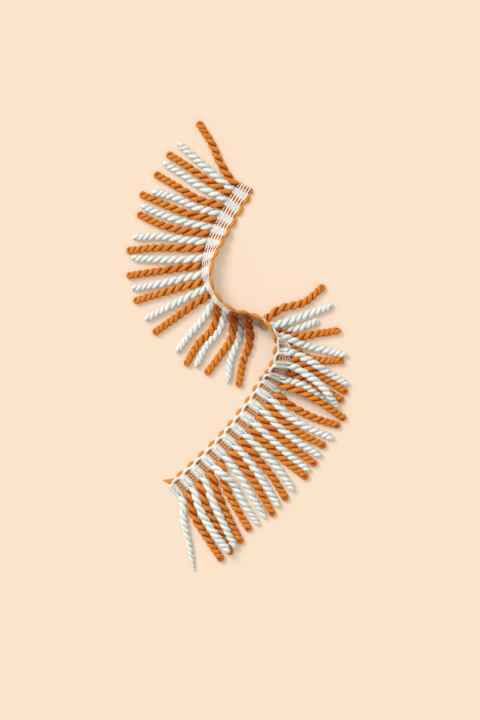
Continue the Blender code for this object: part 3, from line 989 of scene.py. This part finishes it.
        # painted shade: near a shaded root, and on the strands' hidden sides, less at the fold
        dark, reach = self.shaded_roots.get(station, (0.0, 1.0))
        fading = smooth((from_start / reach - self.shade_hold) / (1.0 - self.shade_hold))
        at_fold = smooth(1.0 - np.abs(run - run[-1] / 2.0) / self.tip_reach)
        painted_groove_shade = self.painted_groove_shade * (1.0 - (1.0 - self.tip_painted_groove_shade) * at_fold)
        mesh.sweep(middle, away, wide, high, self.corners, painted_groove_shade, shade_depth_for(dark * (1.0 - fading)))

    def build(self) -> list[bpy.types.Object]:
        """Makes the fringe and its stray fibres.

        Returns:
            The piece that stands for the node, and the fibres.
        """
        mesh = YarnMesh(self.seed)
        for place, lay in enumerate(self.lays):
            self.sweep_rope(mesh, self.first + place, lay)
        ropes = mesh.build(self.piece, self.finish, nodes=(self.node,))
        return [ropes, StrayFibres(mesh, self.seed + 20).build(self.piece + "_fuzz", self.finish)]


@dataclass
class StrayFibres:
    """Fine fibres that stand off the yarns, the fuzz of a soft spun yarn."""

    yarns: YarnMesh
    seed: int
    count: int = 5600
    half: float = 0.028
    reach: Pair = (0.8, 2.6)
    rise: Pair = (0.1, 0.5)
    bow: Pair = (0.45, 1.0)         # from a fibre that stands out to one that comes back to its yarn
    slant: float = 0.8              # either way from the yarn's own direction, in radians
    rooted: float = 0.05

    def build(self, name: str, finish: YarnFinish) -> bpy.types.Object:
        """Grows the fibres.

        Args:
            name: the piece's name.
            finish: the finish of the yarns.

        Returns:
            The piece.
        """
        mesh = YarnMesh(self.seed)
        random = mesh.random
        points = np.vstack(self.yarns.points)
        picks = random.choice(len(points), self.count, replace=False)
        points, outward = points[picks], np.vstack(self.yarns.outward)[picks]
        onward = np.vstack(self.yarns.onward)[picks]
        slant = random.uniform(-self.slant, self.slant, self.count)[:, None]
        ahead = onward * np.cos(slant) + np.cross(outward, onward) * np.sin(slant)
        ahead = ahead * random.choice((-1, 1), (self.count, 1))
        reach, rise, bow = (random.uniform(*limits, self.count)
                            for limits in (self.reach, self.rise, self.bow))
        share = np.linspace(0.0, 1.0, 3)
        for point, out, along, far, high, bend in zip(points, outward, ahead, reach, rise, bow):
            standing = high * np.sin(pi * bend * share) - self.rooted
            middle = point + along * (far * share)[:, None] + out * standing[:, None]
            mesh.sweep(middle, np.broadcast_to(out, middle.shape), self.half, self.half, 4)
        return mesh.build(name, finish)


@dataclass(frozen=True)
class Crossing:
    """How one kind of crossing yarn lies in the weave."""

    side: Side
    half_wide: float
    half_high: float
    out: float                      # height of its middle over the heading's middle plane
    warps: tuple[float, ...]        # where the warps cross it
    start: float                    # from the free edge
    pinch: float                    # how deep a warp presses in
    # painted shade on the side hidden by the next yarn
    painted_groove_shade: float
    blotched: float                 # how far its uneven patches take on the painted shade colour
    thinned: float = 0.0            # how much thinner it is where the half twist opens the weave


@dataclass(frozen=True)
class WarpKind:
    """How one kind of warp lies in the weave."""

    side: Side
    places: tuple[float, ...]       # from the free edge
    half: float
    high: float                     # half its height
    over_white: float               # its height over the middle plane at a white crossing
    over_orange: float              # and at an orange one
    steps: int                      # rings in each station
    thinned: float = 0.0            # as for a crossing yarn
    ripple: float = 0.0             # how far it rises over each yarn of an orange crossing


@dataclass
class Heading:
    """The woven band: a thin cloth, the yarns that cross it on either side, and the warps that hold them."""

    route: HeadingRoute
    seed: int = 11
    opened_and_shaded: tuple[float, ...] = (10.0, 11.6, 13.5, 14.0)    # window in which the half twist opens the weave and the orange side takes painted shade
    # The cloth
    cloth_half: float = 0.3
    cloth_inset: float = 0.2
    cloth_corners: int = 24
    cloth_step: float = 0.08        # in stations
    cloth_end: float = 0.06         # from the cut end, in stations
    squared: float = 0.35           # under 1, the section has flat faces and tight corners
    cloth_shade_depths: Triple = (0.5, 0.4, 0.1)      # painted shade depth: orange side, more of it in the opened weave, white side
    # The yarns that cross it
    rib_steps: int = 40
    rib_end: float = 15.0           # where a crossing yarn has dipped into its rope
    dipping: Triple = (-0.4, 2.5, 1.3)      # from the roots, for this length, by this much
    orange_leg: float = 0.142       # half the distance between a crossing's two yarns, in stations
    orange_end: float = 1.4         # the end of a crossing, past the roots
    short_end: float = -0.2         # of one that is cut short
    tucked_end: float = -0.3        # of the runs under the crossing whose rope starts below it
    white_end: float = 1.2
    last_row: float = 0.08          # no white run is nearer the cut end than this, in stations
    white_rows: tuple[float, ...] = (-0.195, -0.066, 0.066, 0.195)
    row_gap: float = 0.15           # between the three runs of orange on the white side, in stations
    press_reach: float = 0.5        # half the length that a warp presses in
    press_narrow: float = 0.08      # how much narrower and lower a yarn is there
    press_low: float = 0.25
    blotch_waves: Pair = (0.21, 0.37)
    blotch_gain: Pair = (1.7, 0.3)
    start_painted_shade: Triple = (0.3, 2.6, 2.0)    # painted shade depth at a crossing's start beside the edge loops, where it ends, and how softly
    row_drift: float = 0.006        # uneven spacing, in stations
    drift_waves: Pair = (0.1, 0.23)
    under_reach: float = 0.232      # half an orange crossing, in stations
    under_high: float = 0.42
    under_from: float = 0.6
    under_short: float = 1.2        # how far the first crossing that is cut short ends before the roots
    cut_short: Pair = (13.0, 14.0)      # orange crossings whose yarns end within the heading
    tucked: float = 13.0            # the orange crossing whose rope starts below it
    # The warps
    orange_side_warps: tuple[float, ...] = (1.9, 4.3, 6.7, 9.1, 11.4)
    white_side_warps: tuple[float, ...] = (4.2, 6.4, 8.6, 10.8, 12.2)
    ground_warps: tuple[float, ...] = (0.9, 3.1, 5.5, 7.9, 10.25, 12.35)
    warp_kinds: tuple[WarpKind, ...] = (
        WarpKind(Side.ORANGE, orange_side_warps, half=0.5, high=0.24, over_white=1.0, over_orange=1.2,
                 steps=16, thinned=0.5),
        WarpKind(Side.ORANGE, ground_warps, half=0.38, high=0.22, over_white=1.2, over_orange=-0.1,
                 steps=16, thinned=0.5),
        WarpKind(Side.WHITE, white_side_warps, half=0.17, high=0.13, over_white=0.86, over_orange=0.84,
                 steps=40, ripple=0.06),
    )
    warp_start: float = 0.03        # before the cut end, in stations
    rise: float = 1.6               # how sharply a warp changes between its two heights
    ripple_reach: float = 1.6       # in gaps between runs, from an orange crossing's middle
    last_drop: Triple = (0.3, 0.15, 0.5)        # past the last crossing, within this length, by this much
    warp_drift: float = 0.06
    warp_waves: Pair = (0.33, 0.9)
    frays: int = 6                  # loose fibres at each end of a warp
    fray_half: float = 0.19
    fray_reach: Pair = (0.5, 1.1)
    fray_side: float = 0.7          # how far they lean to either side, against their length
    fray_rise: Pair = (-0.3, 0.8)
    fray_spread: float = 0.6        # from the warp's middle
    fray_within: float = 0.4        # length inside the cut end
    fray_bend: float = 0.6
    long_corner: Triple = (8.0, 4.0, 2.6)       # from here, within this width, this much longer
    # The kinds of crossing yarn
    orange_crossing: Crossing = Crossing(
        Side.ORANGE, half_wide=1.04, half_high=0.58, out=0.62, warps=orange_side_warps, start=0.1, pinch=0.2,
        painted_groove_shade=0.75, blotched=0.7, thinned=0.7)
    orange_row: Crossing = Crossing(
        Side.WHITE, half_wide=0.57, half_high=0.52, out=0.52, warps=white_side_warps, start=1.2, pinch=0.3,
        painted_groove_shade=0.9, blotched=0.34)
    white_crossing: Crossing = Crossing(
        Side.ORANGE, half_wide=0.71, half_high=0.58, out=0.62, warps=orange_side_warps + ground_warps,
        start=0.5, pinch=0.34, painted_groove_shade=0.9, blotched=0.78, thinned=0.45)

    def opening(self, stations: np.ndarray) -> np.ndarray:
        """How far the half twist opens the weave and paints the orange side in shade, from 0 to 1."""
        return window(stations, *self.opened_and_shaded)

    def turned_shade(self, side: Side, stations: np.ndarray) -> np.ndarray:
        """The painted shade depth that one side's yarns gain where that side lies in its own shade."""
        return TURNED_SHADE * (self.opening if side is Side.ORANGE else self.route.averted_at)(stations)

    def cloth(self) -> bpy.types.Object:
        """The thin woven ground between the two layers of yarn, painted in shade on its orange side.

        Returns:
            The piece that stands for the band.
        """
        mesh = YarnMesh(self.seed)
        stations = np.arange(BAND_START, BAND_END - self.cloth_end, self.cloth_step)
        middle, normal = self.route.place(stations, HEADING_WIDTH / 2, 0.0)
        turns = 2.0 * pi * (np.arange(self.cloth_corners) + 0.5) / self.cloth_corners
        wide, high = (np.sign(swing) * np.abs(swing) ** self.squared
                      for swing in (np.cos(turns), np.sin(turns)))
        rings = rings_about(middle, normal, (wide * (HEADING_WIDTH / 2 - self.cloth_inset))[None, :],
                            (high * self.cloth_half)[None, :])
        # painted shade on the orange side, more where the weave opens, none on the white side
        plain, more, below = self.cloth_shade_depths
        above = plain + (more * self.opening(stations))[:, None]
        mesh.add_rings(rings, run_of(middle), np.where(high > 0.0, above, below))
        return mesh.build("heading_cloth", WARP_THREAD, nodes=("heading_band",))

    def rib(self, mesh: YarnMesh, kind: Crossing, station: float, end: float) -> None:
        """One crossing yarn on one side, pressed in a little under each warp.

        Args:
            mesh: the mesh to add to.
            kind: how such a yarn lies.
            station: where it crosses.
            end: how far from the free edge it ends; at rib_end it dips into a rope on the other side.
        """
        across = np.linspace(kind.start, end, self.rib_steps)
        pressed = sum(np.exp(-((across - warp) / self.press_reach) ** 2) for warp in kind.warps)
        dip_from, dip_reach, dip = self.dipping
        dipping = smooth((across - HEADING_WIDTH - dip_from) / dip_reach) if end == self.rib_end else 0.0
        # darker toward the painted shade colour: in uneven patches, as painted shade at the start beside the
        # edge loops, and as painted shade where the side is turned from the light
        gain, less = self.blotch_gain
        shade = kind.blotched * np.clip(gain * mesh.waver(across, self.blotch_waves) - less, 0.0, 1.0)
        dark, reach, softly = self.start_painted_shade
        shade = shade + dark * smooth((kind.start + reach - across) / softly)
        shade = shade + self.turned_shade(kind.side, station)
        half_wide = kind.half_wide * (1.0 - kind.thinned * self.opening(station))
        half_wide = half_wide * (1.0 - self.press_narrow * pressed)
        stations = station + self.row_drift * mesh.waver(across, self.drift_waves)
        height = kind.out - kind.pinch * pressed - dip * dipping
        middle, normal = self.route.place(stations, across, height * kind.side.value)
        high = kind.half_high * (1.0 - self.press_low * np.minimum(pressed, 1.0))
        mesh.sweep(middle, normal * kind.side.value, half_wide, high, painted_groove_shade=kind.painted_groove_shade, painted_shade_depth=shade)

    def under_weft(self, mesh: YarnMesh, station: float) -> None:
        """The inner turns of an orange crossing, painted in full shade so that they show dark between its
        yarns.

        Args:
            mesh: the mesh to add to.
            station: where it crosses.
        """
        short = self.under_short if station == self.cut_short[0] else 0.0
        across = np.linspace(self.under_from, HEADING_WIDTH - short, 16)
        one_side, normal = self.route.place(np.full(16, station - self.under_reach), across, 0.0)
        other_side, _ = self.route.place(np.full(16, station + self.under_reach), across, 0.0)
        half = np.linalg.norm(other_side - one_side, axis=1) / 2.0
        # in full painted shade
        mesh.sweep((one_side + other_side) / 2.0, normal, half, self.under_high, painted_shade_depth=1.0)

    def orange_wefts(self) -> bpy.types.Object:
        """The orange yarns that cross the heading.

        Returns:
            The piece, with two yarns a crossing on the orange side and three thinner runs on the other.
        """
        mesh = YarnMesh(self.seed + 1)
        for station in range(1, PAIRS + 1):
            self.under_weft(mesh, station)
            end = HEADING_WIDTH + (self.short_end if station in self.cut_short else self.orange_end)
            for leg in (-self.orange_leg, self.orange_leg):
                self.rib(mesh, self.orange_crossing, station + leg, end)
            end = HEADING_WIDTH + self.tucked_end if station == self.tucked else self.rib_end
            for row in (-self.row_gap, 0.0, self.row_gap):
                self.rib(mesh, self.orange_row, station + row, end)
        return mesh.build("orange_wefts", PRESSED_ORANGE_YARN)

    def white_wefts(self) -> bpy.types.Object:
        """The off-white yarns that cross the heading on the orange side.

        Returns:
            The piece, with four runs a crossing.
        """
        mesh = YarnMesh(self.seed + 2)
        for place in range(PAIRS):
            for row in self.white_rows:
                station = place + 1.5 + row
                if station < BAND_END - self.last_row:
                    self.rib(mesh, self.white_crossing, station, HEADING_WIDTH + self.white_end)
        return mesh.build("white_wefts", PRESSED_WHITE_PAINTED_LIGHTER)

    def warps(self) -> bpy.types.Object:
        """The fine warps, which run over every yarn of the orange side and dive under the white legs.

        Returns:
            The piece.
        """
        mesh = YarnMesh(self.seed + 3)
        drop_from, drop_reach, drop = self.last_drop
        for kind in self.warp_kinds:
            rings = round((BAND_END - BAND_START + 0.1) * kind.steps)
            stations = np.linspace(BAND_START - self.warp_start, BAND_END, rings)
            at_orange = smooth(0.5 + self.rise * np.cos(2.0 * pi * stations))
            last_leg = smooth((stations - PAIRS - drop_from) / drop_reach)
            from_row = stations - np.round(stations)
            rippled = np.abs(from_row) < self.ripple_reach * self.row_gap
            ripple = np.cos(2.0 * pi * from_row / self.row_gap) * rippled
            out = kind.over_white + (kind.over_orange - kind.over_white) * at_orange - drop * last_leg
            out = (out + kind.ripple * ripple) * kind.side.value
            half = kind.half * (1.0 - kind.thinned * self.opening(stations))
            for place in kind.places:
                across = place + self.warp_drift * mesh.waver(stations, self.warp_waves)
                middle, normal = self.route.place(stations, across, out)
                # painted shade where their side is turned from the light
                mesh.sweep(middle, normal * kind.side.value, half, kind.high, 6,
                           painted_shade_depth=self.turned_shade(kind.side, stations))
        self.fray(mesh)
        return mesh.build("warp_threads", WARP_THREAD)

    def fray(self, mesh: YarnMesh) -> None:
        """The loose ends of the warps at the two cut ends, longest at the first corner beside the roots.

        Args:
            mesh: the mesh to add to.
        """
        share = np.linspace(0.0, 1.0, 6)
        half = self.fray_half * (1.0 - 0.5 * share)
        corner_from, corner_width, longer = self.long_corner
        for station, onward in ((BAND_START, -1.0), (BAND_END, 1.0)):
            at = self.route.frame_at(station)
            for place in self.ground_warps + self.orange_side_warps:
                corner = smooth((place - corner_from) / corner_width) if onward < 0.0 else 0.0
                for _ in range(self.frays):
                    reach = mesh.random.uniform(*self.fray_reach) * (1.0 + longer * corner)
                    side = mesh.random.uniform(-self.fray_side, self.fray_side)
                    rise = mesh.random.uniform(*self.fray_rise)
                    across = place + mesh.random.uniform(-self.fray_spread, self.fray_spread)
                    start, _ = self.route.place(station, across, rise * self.fray_bend)
                    middle = start + at.along * (onward * (reach * share - self.fray_within))[:, None]
                    astray = at.across * side + at.normal * rise
                    middle = middle + astray * (reach * share**2)[:, None] * self.fray_bend
                    mesh.sweep(middle, np.broadcast_to(at.normal, middle.shape), half, half, 4)


@dataclass
class EdgeLoops:
    """The yarns passing from crossing to crossing on the free edge: orange crescents and white arches."""

    route: HeadingRoute
    seed: int = 31
    corners: int = 12
    # The orange crescents, and the two ends of their yarn
    crescent_inner: float = 0.9     # the inner edge inside the free edge
    crescent_half: Pair = (0.5, 1.85)
    crescent_swell: float = 0.65    # under 1, it is full for most of its length
    crescent_out: Pair = (0.95, 0.85)       # height over the middle plane at its ends and its middle
    crescent_flat: float = 0.78
    crescent_gap: float = 0.04      # from its crossing, in stations
    pulled_from: Pair = (13.0, 15.0)        # past the half twist they are pulled a little tighter
    pulled: Triple = (0.06, 0.25, 0.05)     # by this much of their width, swell and gap
    first_from: float = 1.22        # where the first crescent starts, past the cut end of its yarn
    end_out: float = 0.9            # height of the yarn's two ends over the middle plane
    stub_at: Pair = (1.0, 1.03)     # the cut end at the first corner, in stations
    stub_across: Pair = (1.0, -1.6)
    stub_half: Triple = (0.7, 0.6, 0.85)        # at its ends, more at its thickest, and half its height
    # how far the stub takes on the painted shade colour
    stub_swell: float = 1.5         # over 1, it is thickest past its middle
    stub_shade_depth: float = 0.4
    loose_at: Pair = (0.16, 0.70)   # the loose end, in stations past the last crossing
    loose_across: Pair = (1.0, -5.9)
    loose_half: Pair = (3.0, 0.3)
    loose_taper: float = 1.25
    loose_flat: float = 0.55
    # The white arches
    leg: float = 0.138              # white leg from the middle of its crossing, in stations
    leg_steps: int = 14
    leg_half: float = 1.66
    leg_high: Triple = (0.74, 0.36, 0.26)       # in a leg, less at its end, more in the bend
    leg_out: Triple = (-0.74, 0.25, 0.22)       # the same for its height over the middle plane
    leg_end: Pair = (3.4, 2.9)      # from the roots, and the length in which it flattens
    leg_reach: Pair = (0.5, 0.3)    # a leg runs from here before the roots to here before the shoulder
    end_narrow: float = 0.03        # how much narrower a leg is at its end
    bend_at: Pair = (2.0, 3.0)      # past the shoulder, and the length in which a leg turns into the bend
    last_leg: float = 0.6           # the cut leg at the far end, past the last orange crossing
    last_across: Pair = (12.1, 0.9)
    last_half: Pair = (0.93, 0.66)      # its width against a leg's, and half its height
    last_out: float = -0.7
    crown: float = 0.3              # the arch's middle inside the free edge at its crown
    crown_half: float = 1.1
    rounded: float = 0.72           # under 1, the arch is squarer than a half circle
    shoulder: float = 3.6           # where the arch has straightened into its legs
    tuck: float = 2.2               # how much further in the arches lie where the orange side is up
    tuck_until: Pair = (12.6, 13.6)
    averted_shade: Triple = (0.6, 1.0, 4.0)     # painted shade of arches turned from the light, from here, in this length
    last_shade: Triple = (0.2, 0.3, 0.15)       # painted shade of the last arch, in how many stations, and of the cut leg

    def crescents(self) -> bpy.types.Object:
        """The orange crescents, fullest between two orange crossings, and the loose end past the last.

        Returns:
            The piece that stands for the orange edge loops.
        """
        mesh = YarnMesh(self.seed)
        thin, full = self.crescent_half
        low, high = self.crescent_out
        begin, end = self.pulled_from
        share = np.linspace(0.0, 1.0, 26)
        swell = np.sin(pi * share)
        for place in range(1, PAIRS):
            pulled = smooth((place - begin) / (end - begin))
            narrower, sharper, shorter = (part * pulled for part in self.pulled)
            half = thin + (full * (1.0 - narrower) - thin) * swell ** (self.crescent_swell + sharper)
            first = self.first_from if place == 1 else place + self.crescent_gap + shorter
            last = place + (1.0 - self.crescent_gap) - shorter
            middle, normal = self.route.place(first + (last - first) * share, self.crescent_inner - half,
                                              low + (high - low) * swell)
            mesh.sweep(middle, normal, half, half * self.crescent_flat, self.corners)
        share = np.linspace(0.0, 1.0, 10)
        (begin, end), (near, far), (thin, more, high) = self.stub_at, self.stub_across, self.stub_half
        middle, normal = self.route.place(begin + (end - begin) * share, near + (far - near) * share,
                                          self.end_out)
        half = thin + more * np.sin(pi * share**self.stub_swell)
        mesh.sweep(middle, normal, half, high, self.corners, painted_shade_depth=self.stub_shade_depth)
        (begin, end), (near, far), (full, thin) = self.loose_at, self.loose_across, self.loose_half
        middle, normal = self.route.place(PAIRS + begin + (end - begin) * share, near + (far - near) * share,
                                          self.end_out)
        half = full + (thin - full) * share**self.loose_taper
        mesh.sweep(middle, normal, half, half * self.loose_flat, self.corners)
        return mesh.build("orange_crescents", PRESSED_ORANGE_YARN, nodes=("orange_edge_loops",))

    def arches(self) -> bpy.types.Object:
        """The white yarns on the white side: up one crossing, round an orange cell and down the next.

        Returns:
            The piece that stands for the white edge loops.
        """
        mesh = YarnMesh(self.seed + 1)
        reach = 0.5 - self.leg
        begin, end = self.tuck_until
        turn = np.linspace(pi, 0.0, 25)
        round_bend = reach * np.sign(np.cos(turn)) * np.abs(np.cos(turn)) ** self.rounded
        from_roots, to_shoulder = self.leg_reach
        down = np.linspace(HEADING_WIDTH - from_roots, self.shoulder + to_shoulder, self.leg_steps)
        end_from, end_reach = self.leg_end
        leg_high, end_lower, bend_higher = self.leg_high
        leg_out, end_higher, bend_lower = self.leg_out
        bend_from, bend_reach = self.bend_at
        averted_shade, shade_from, shade_reach = self.averted_shade
        arch_shade, arch_reach, leg_shade = self.last_shade
        for cell in range(1, PAIRS + 1):
            crown = self.crown + self.tuck * (1.0 - smooth((cell - begin) / (end - begin)))
            bend_across = self.shoulder - (self.shoulder - crown) * np.sin(turn) ** self.rounded
            stations = np.concatenate([np.full(len(down), cell - reach), cell + round_bend,
                                       np.full(len(down), cell + reach)])
            across = np.concatenate([down, bend_across, down[::-1]])
            keep = stations > BAND_START
            stations, across = stations[keep], across[keep]
            in_bend = smooth((self.shoulder + bend_from - across) / bend_reach)
            # painted shade where the white side turns from the light, and over the last arch and the cut leg
            averted = self.route.averted_at(stations) * smooth((across - shade_from) / shade_reach)
            shade = shade_depth_for(averted_shade * averted)
            if cell == PAIRS:
                shade = np.maximum(shade, shade_depth_for(arch_shade * smooth((stations - cell) / arch_reach)))
            ending = smooth((across - HEADING_WIDTH + end_from) / end_reach)
            out = end_higher * ending - bend_lower * in_bend + leg_out
            middle, normal = self.route.place(stations, across, out)
            wide = self.leg_half * (1.0 - self.end_narrow * ending)
            wide = wide + (self.crown_half - self.leg_half) * in_bend
            high = leg_high - end_lower * ending + bend_higher * in_bend
            mesh.sweep(middle, -normal, wide, high, self.corners, painted_shade_depth=shade)
        across = np.linspace(*self.last_across, self.leg_steps)
        middle, normal = self.route.place(np.full(len(across), PAIRS + self.last_leg), across, self.last_out)
        narrower, high = self.last_half
        mesh.sweep(middle, -normal, self.leg_half * narrower, high, self.corners, painted_shade_depth=shade_depth_for(leg_shade))
        return mesh.build("white_arches", WHITE_YARN, nodes=("white_edge_loops",))


@dataclass(frozen=True)
class SunLamp:
    """A wide far light."""

    name: str
    come_from: Triple
    strength: float
    spread: float

    def light(self) -> None:
        """Hangs the lamp."""
        lamp = bpy.data.lights.new(self.name, "SUN")
        lamp.energy = self.strength
        lamp.angle = self.spread
        holder = in_scene(self.name, lamp)
        holder.location = self.come_from
        holder.rotation_mode = "QUATERNION"
        holder.rotation_quaternion = (-Vector(self.come_from)).to_track_quat("-Z", "Y")


@dataclass
class Studio:
    """The pale surface, the lights and the camera."""

    floor_size: float = 6.0
    floor_colour: Triple = (0.508, 0.405, 0.3336)
    floor_glow: Triple = (0.310, 0.247, 0.165)
    tooth: float = 0.012            # how much lighter and darker the paper's tooth is
    tooth_scale: float = 900.0
    look_at: Pair = (2.4, -11.44)
    frame_height: float = 576.0
    camera_height: float = 2400.0
    sensor: float = 36.0
    sky: float = 0.55
    lamps: tuple[SunLamp, ...] = (
        SunLamp("key", (-0.66, 0.66, 1.0), strength=2.25, spread=0.45),
        SunLamp("overhead", (-0.25, 0.45, 1.0), strength=0.85, spread=1.2),
    )

    def floor(self) -> None:
        """The surface, pale peach paper with a faint tooth; it glows a little, so that shadows stay light."""
        mesh = bpy.data.meshes.new("surface")
        half = self.floor_size / 2
        corners = [(-half, -half, 0.0), (half, -half, 0.0), (half, half, 0.0), (-half, half, 0.0)]
        mesh.from_pydata(corners, [], [(0, 1, 2, 3)])
        material, sheet, shader = new_material("peach_paper")
        tooth = sheet.add("ShaderNodeTexNoise", Scale=self.tooth_scale, Detail=3.0)
        sheet.join(sheet.add("ShaderNodeTexCoord").outputs["Object"], tooth.inputs["Vector"])
        dark, light = ((*(value * share for value in self.floor_colour), 1.0)
                       for share in (1.0 - self.tooth, 1.0 + self.tooth))
        sheet.join(sheet.mix(tooth.outputs["Fac"], dark, light), shader.inputs["Base Color"])
        sheet.fill(shader, Roughness=1.0, Specular_IOR_Level=0.0, Emission_Color=(*self.floor_glow, 1.0),
                   Emission_Strength=1.0)
        mesh.materials.append(material)
        in_scene("surface", mesh)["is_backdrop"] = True

    def light(self) -> None:
        """Two wide lights from the upper left and an even sky."""
        world = bpy.data.worlds.new("studio")
        world.use_nodes = True
        NodeSheet.fill(world.node_tree.nodes["Background"], Color=(1.0, 1.0, 1.0, 1.0), Strength=self.sky)
        bpy.context.scene.world = world
        for lamp in self.lamps:
            lamp.light()
        bpy.context.scene.view_settings.view_transform = "Standard"

    def camera(self) -> None:
        """A long lens straight overhead, framed as the photograph is."""
        lens = bpy.data.cameras.new("overhead")
        lens.sensor_width = self.sensor
        lens.lens = self.sensor * self.camera_height / self.frame_height
        lens.clip_end = 20.0
        camera = in_scene("overhead", lens)
        camera.location = ((self.look_at[0] - ORIGIN[0]) * MM, (self.look_at[1] - ORIGIN[1]) * MM,
                           self.camera_height * MM)
        bpy.context.scene.camera = camera


def corners_of(bounds: tuple[Vector, Vector]) -> list[list[float]]:
    """A box as plain lists of numbers."""
    return [list(corner) for corner in bounds]


def main(cad_box: list[list[float]]) -> None:
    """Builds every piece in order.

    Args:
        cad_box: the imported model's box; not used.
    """
    logging.basicConfig(level=logging.INFO, format="%(message)s")
    studio = Studio()
    studio.floor()
    studio.light()
    studio.camera()

    route = HeadingRoute()
    heading, loops = Heading(route), EdgeLoops(route)
    cloth = heading.cloth()
    going_with = [
        heading.orange_wefts(), heading.white_wefts(), heading.warps(), loops.crescents(), loops.arches(),
        *RopeFringe("orange_ropes", "orange_fringe", ORANGE_LAY, 1.0, Side.ORANGE, ORANGE_YARN, route, seed=5,
                    tucked={10.0: (1.5, 1.3), 11.0: (7.0, 1.7), 12.0: (4.5, 1.9), 13.0: (3.5, -2.4),
                            14.0: (0.0, -1.6)},
                    fuller={10.0: 0.1, 11.0: 0.16, 12.0: 0.24, 23.0: 0.05, 24.0: 0.1, 25.0: 0.12, 26.0: 0.1,
                            27.0: 0.06},
                    shaded_roots={**{float(place): (0.7, 4.5) for place in range(1, 9)}, 9.0: (0.35, 12.0),
                                  10.0: (0.6, 26.0), 11.0: (1.0, 42.0), 12.0: (1.0, 54.0), 17.0: (1.0, 14.0),
                                  18.0: (0.9, 9.0), 19.0: (0.8, 6.0)}).build(),
        *RopeFringe("white_ropes", "white_fringe", WHITE_LAY, 1.5, Side.WHITE, WHITE_YARN, route, seed=6,
                    tucked={14.5: (3.5, 1.5), 15.5: (5.0, 1.9)}, pointed={24.5: 0.85, 25.5: 0.8, 28.5: 0.5},
                    shaded_roots={9.5: (0.5, 11.0), 10.5: (0.6, 18.0), 11.5: (1.0, 38.0), 17.5: (0.3, 10.0),
                                  18.5: (0.5, 16.0)},
                    strand_out=1.72, strand_radius=1.88, painted_groove_shade=0.28, tip_painted_groove_shade=0.0, strip_out=0.74,
                    start_out=1.62, start_half=(1.64, 0.45), upright=0.5, eye_out=1.62,
                    eye_radius=1.62).build(),
    ]


if __name__ == "__main__":
    main(corners_of(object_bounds()))
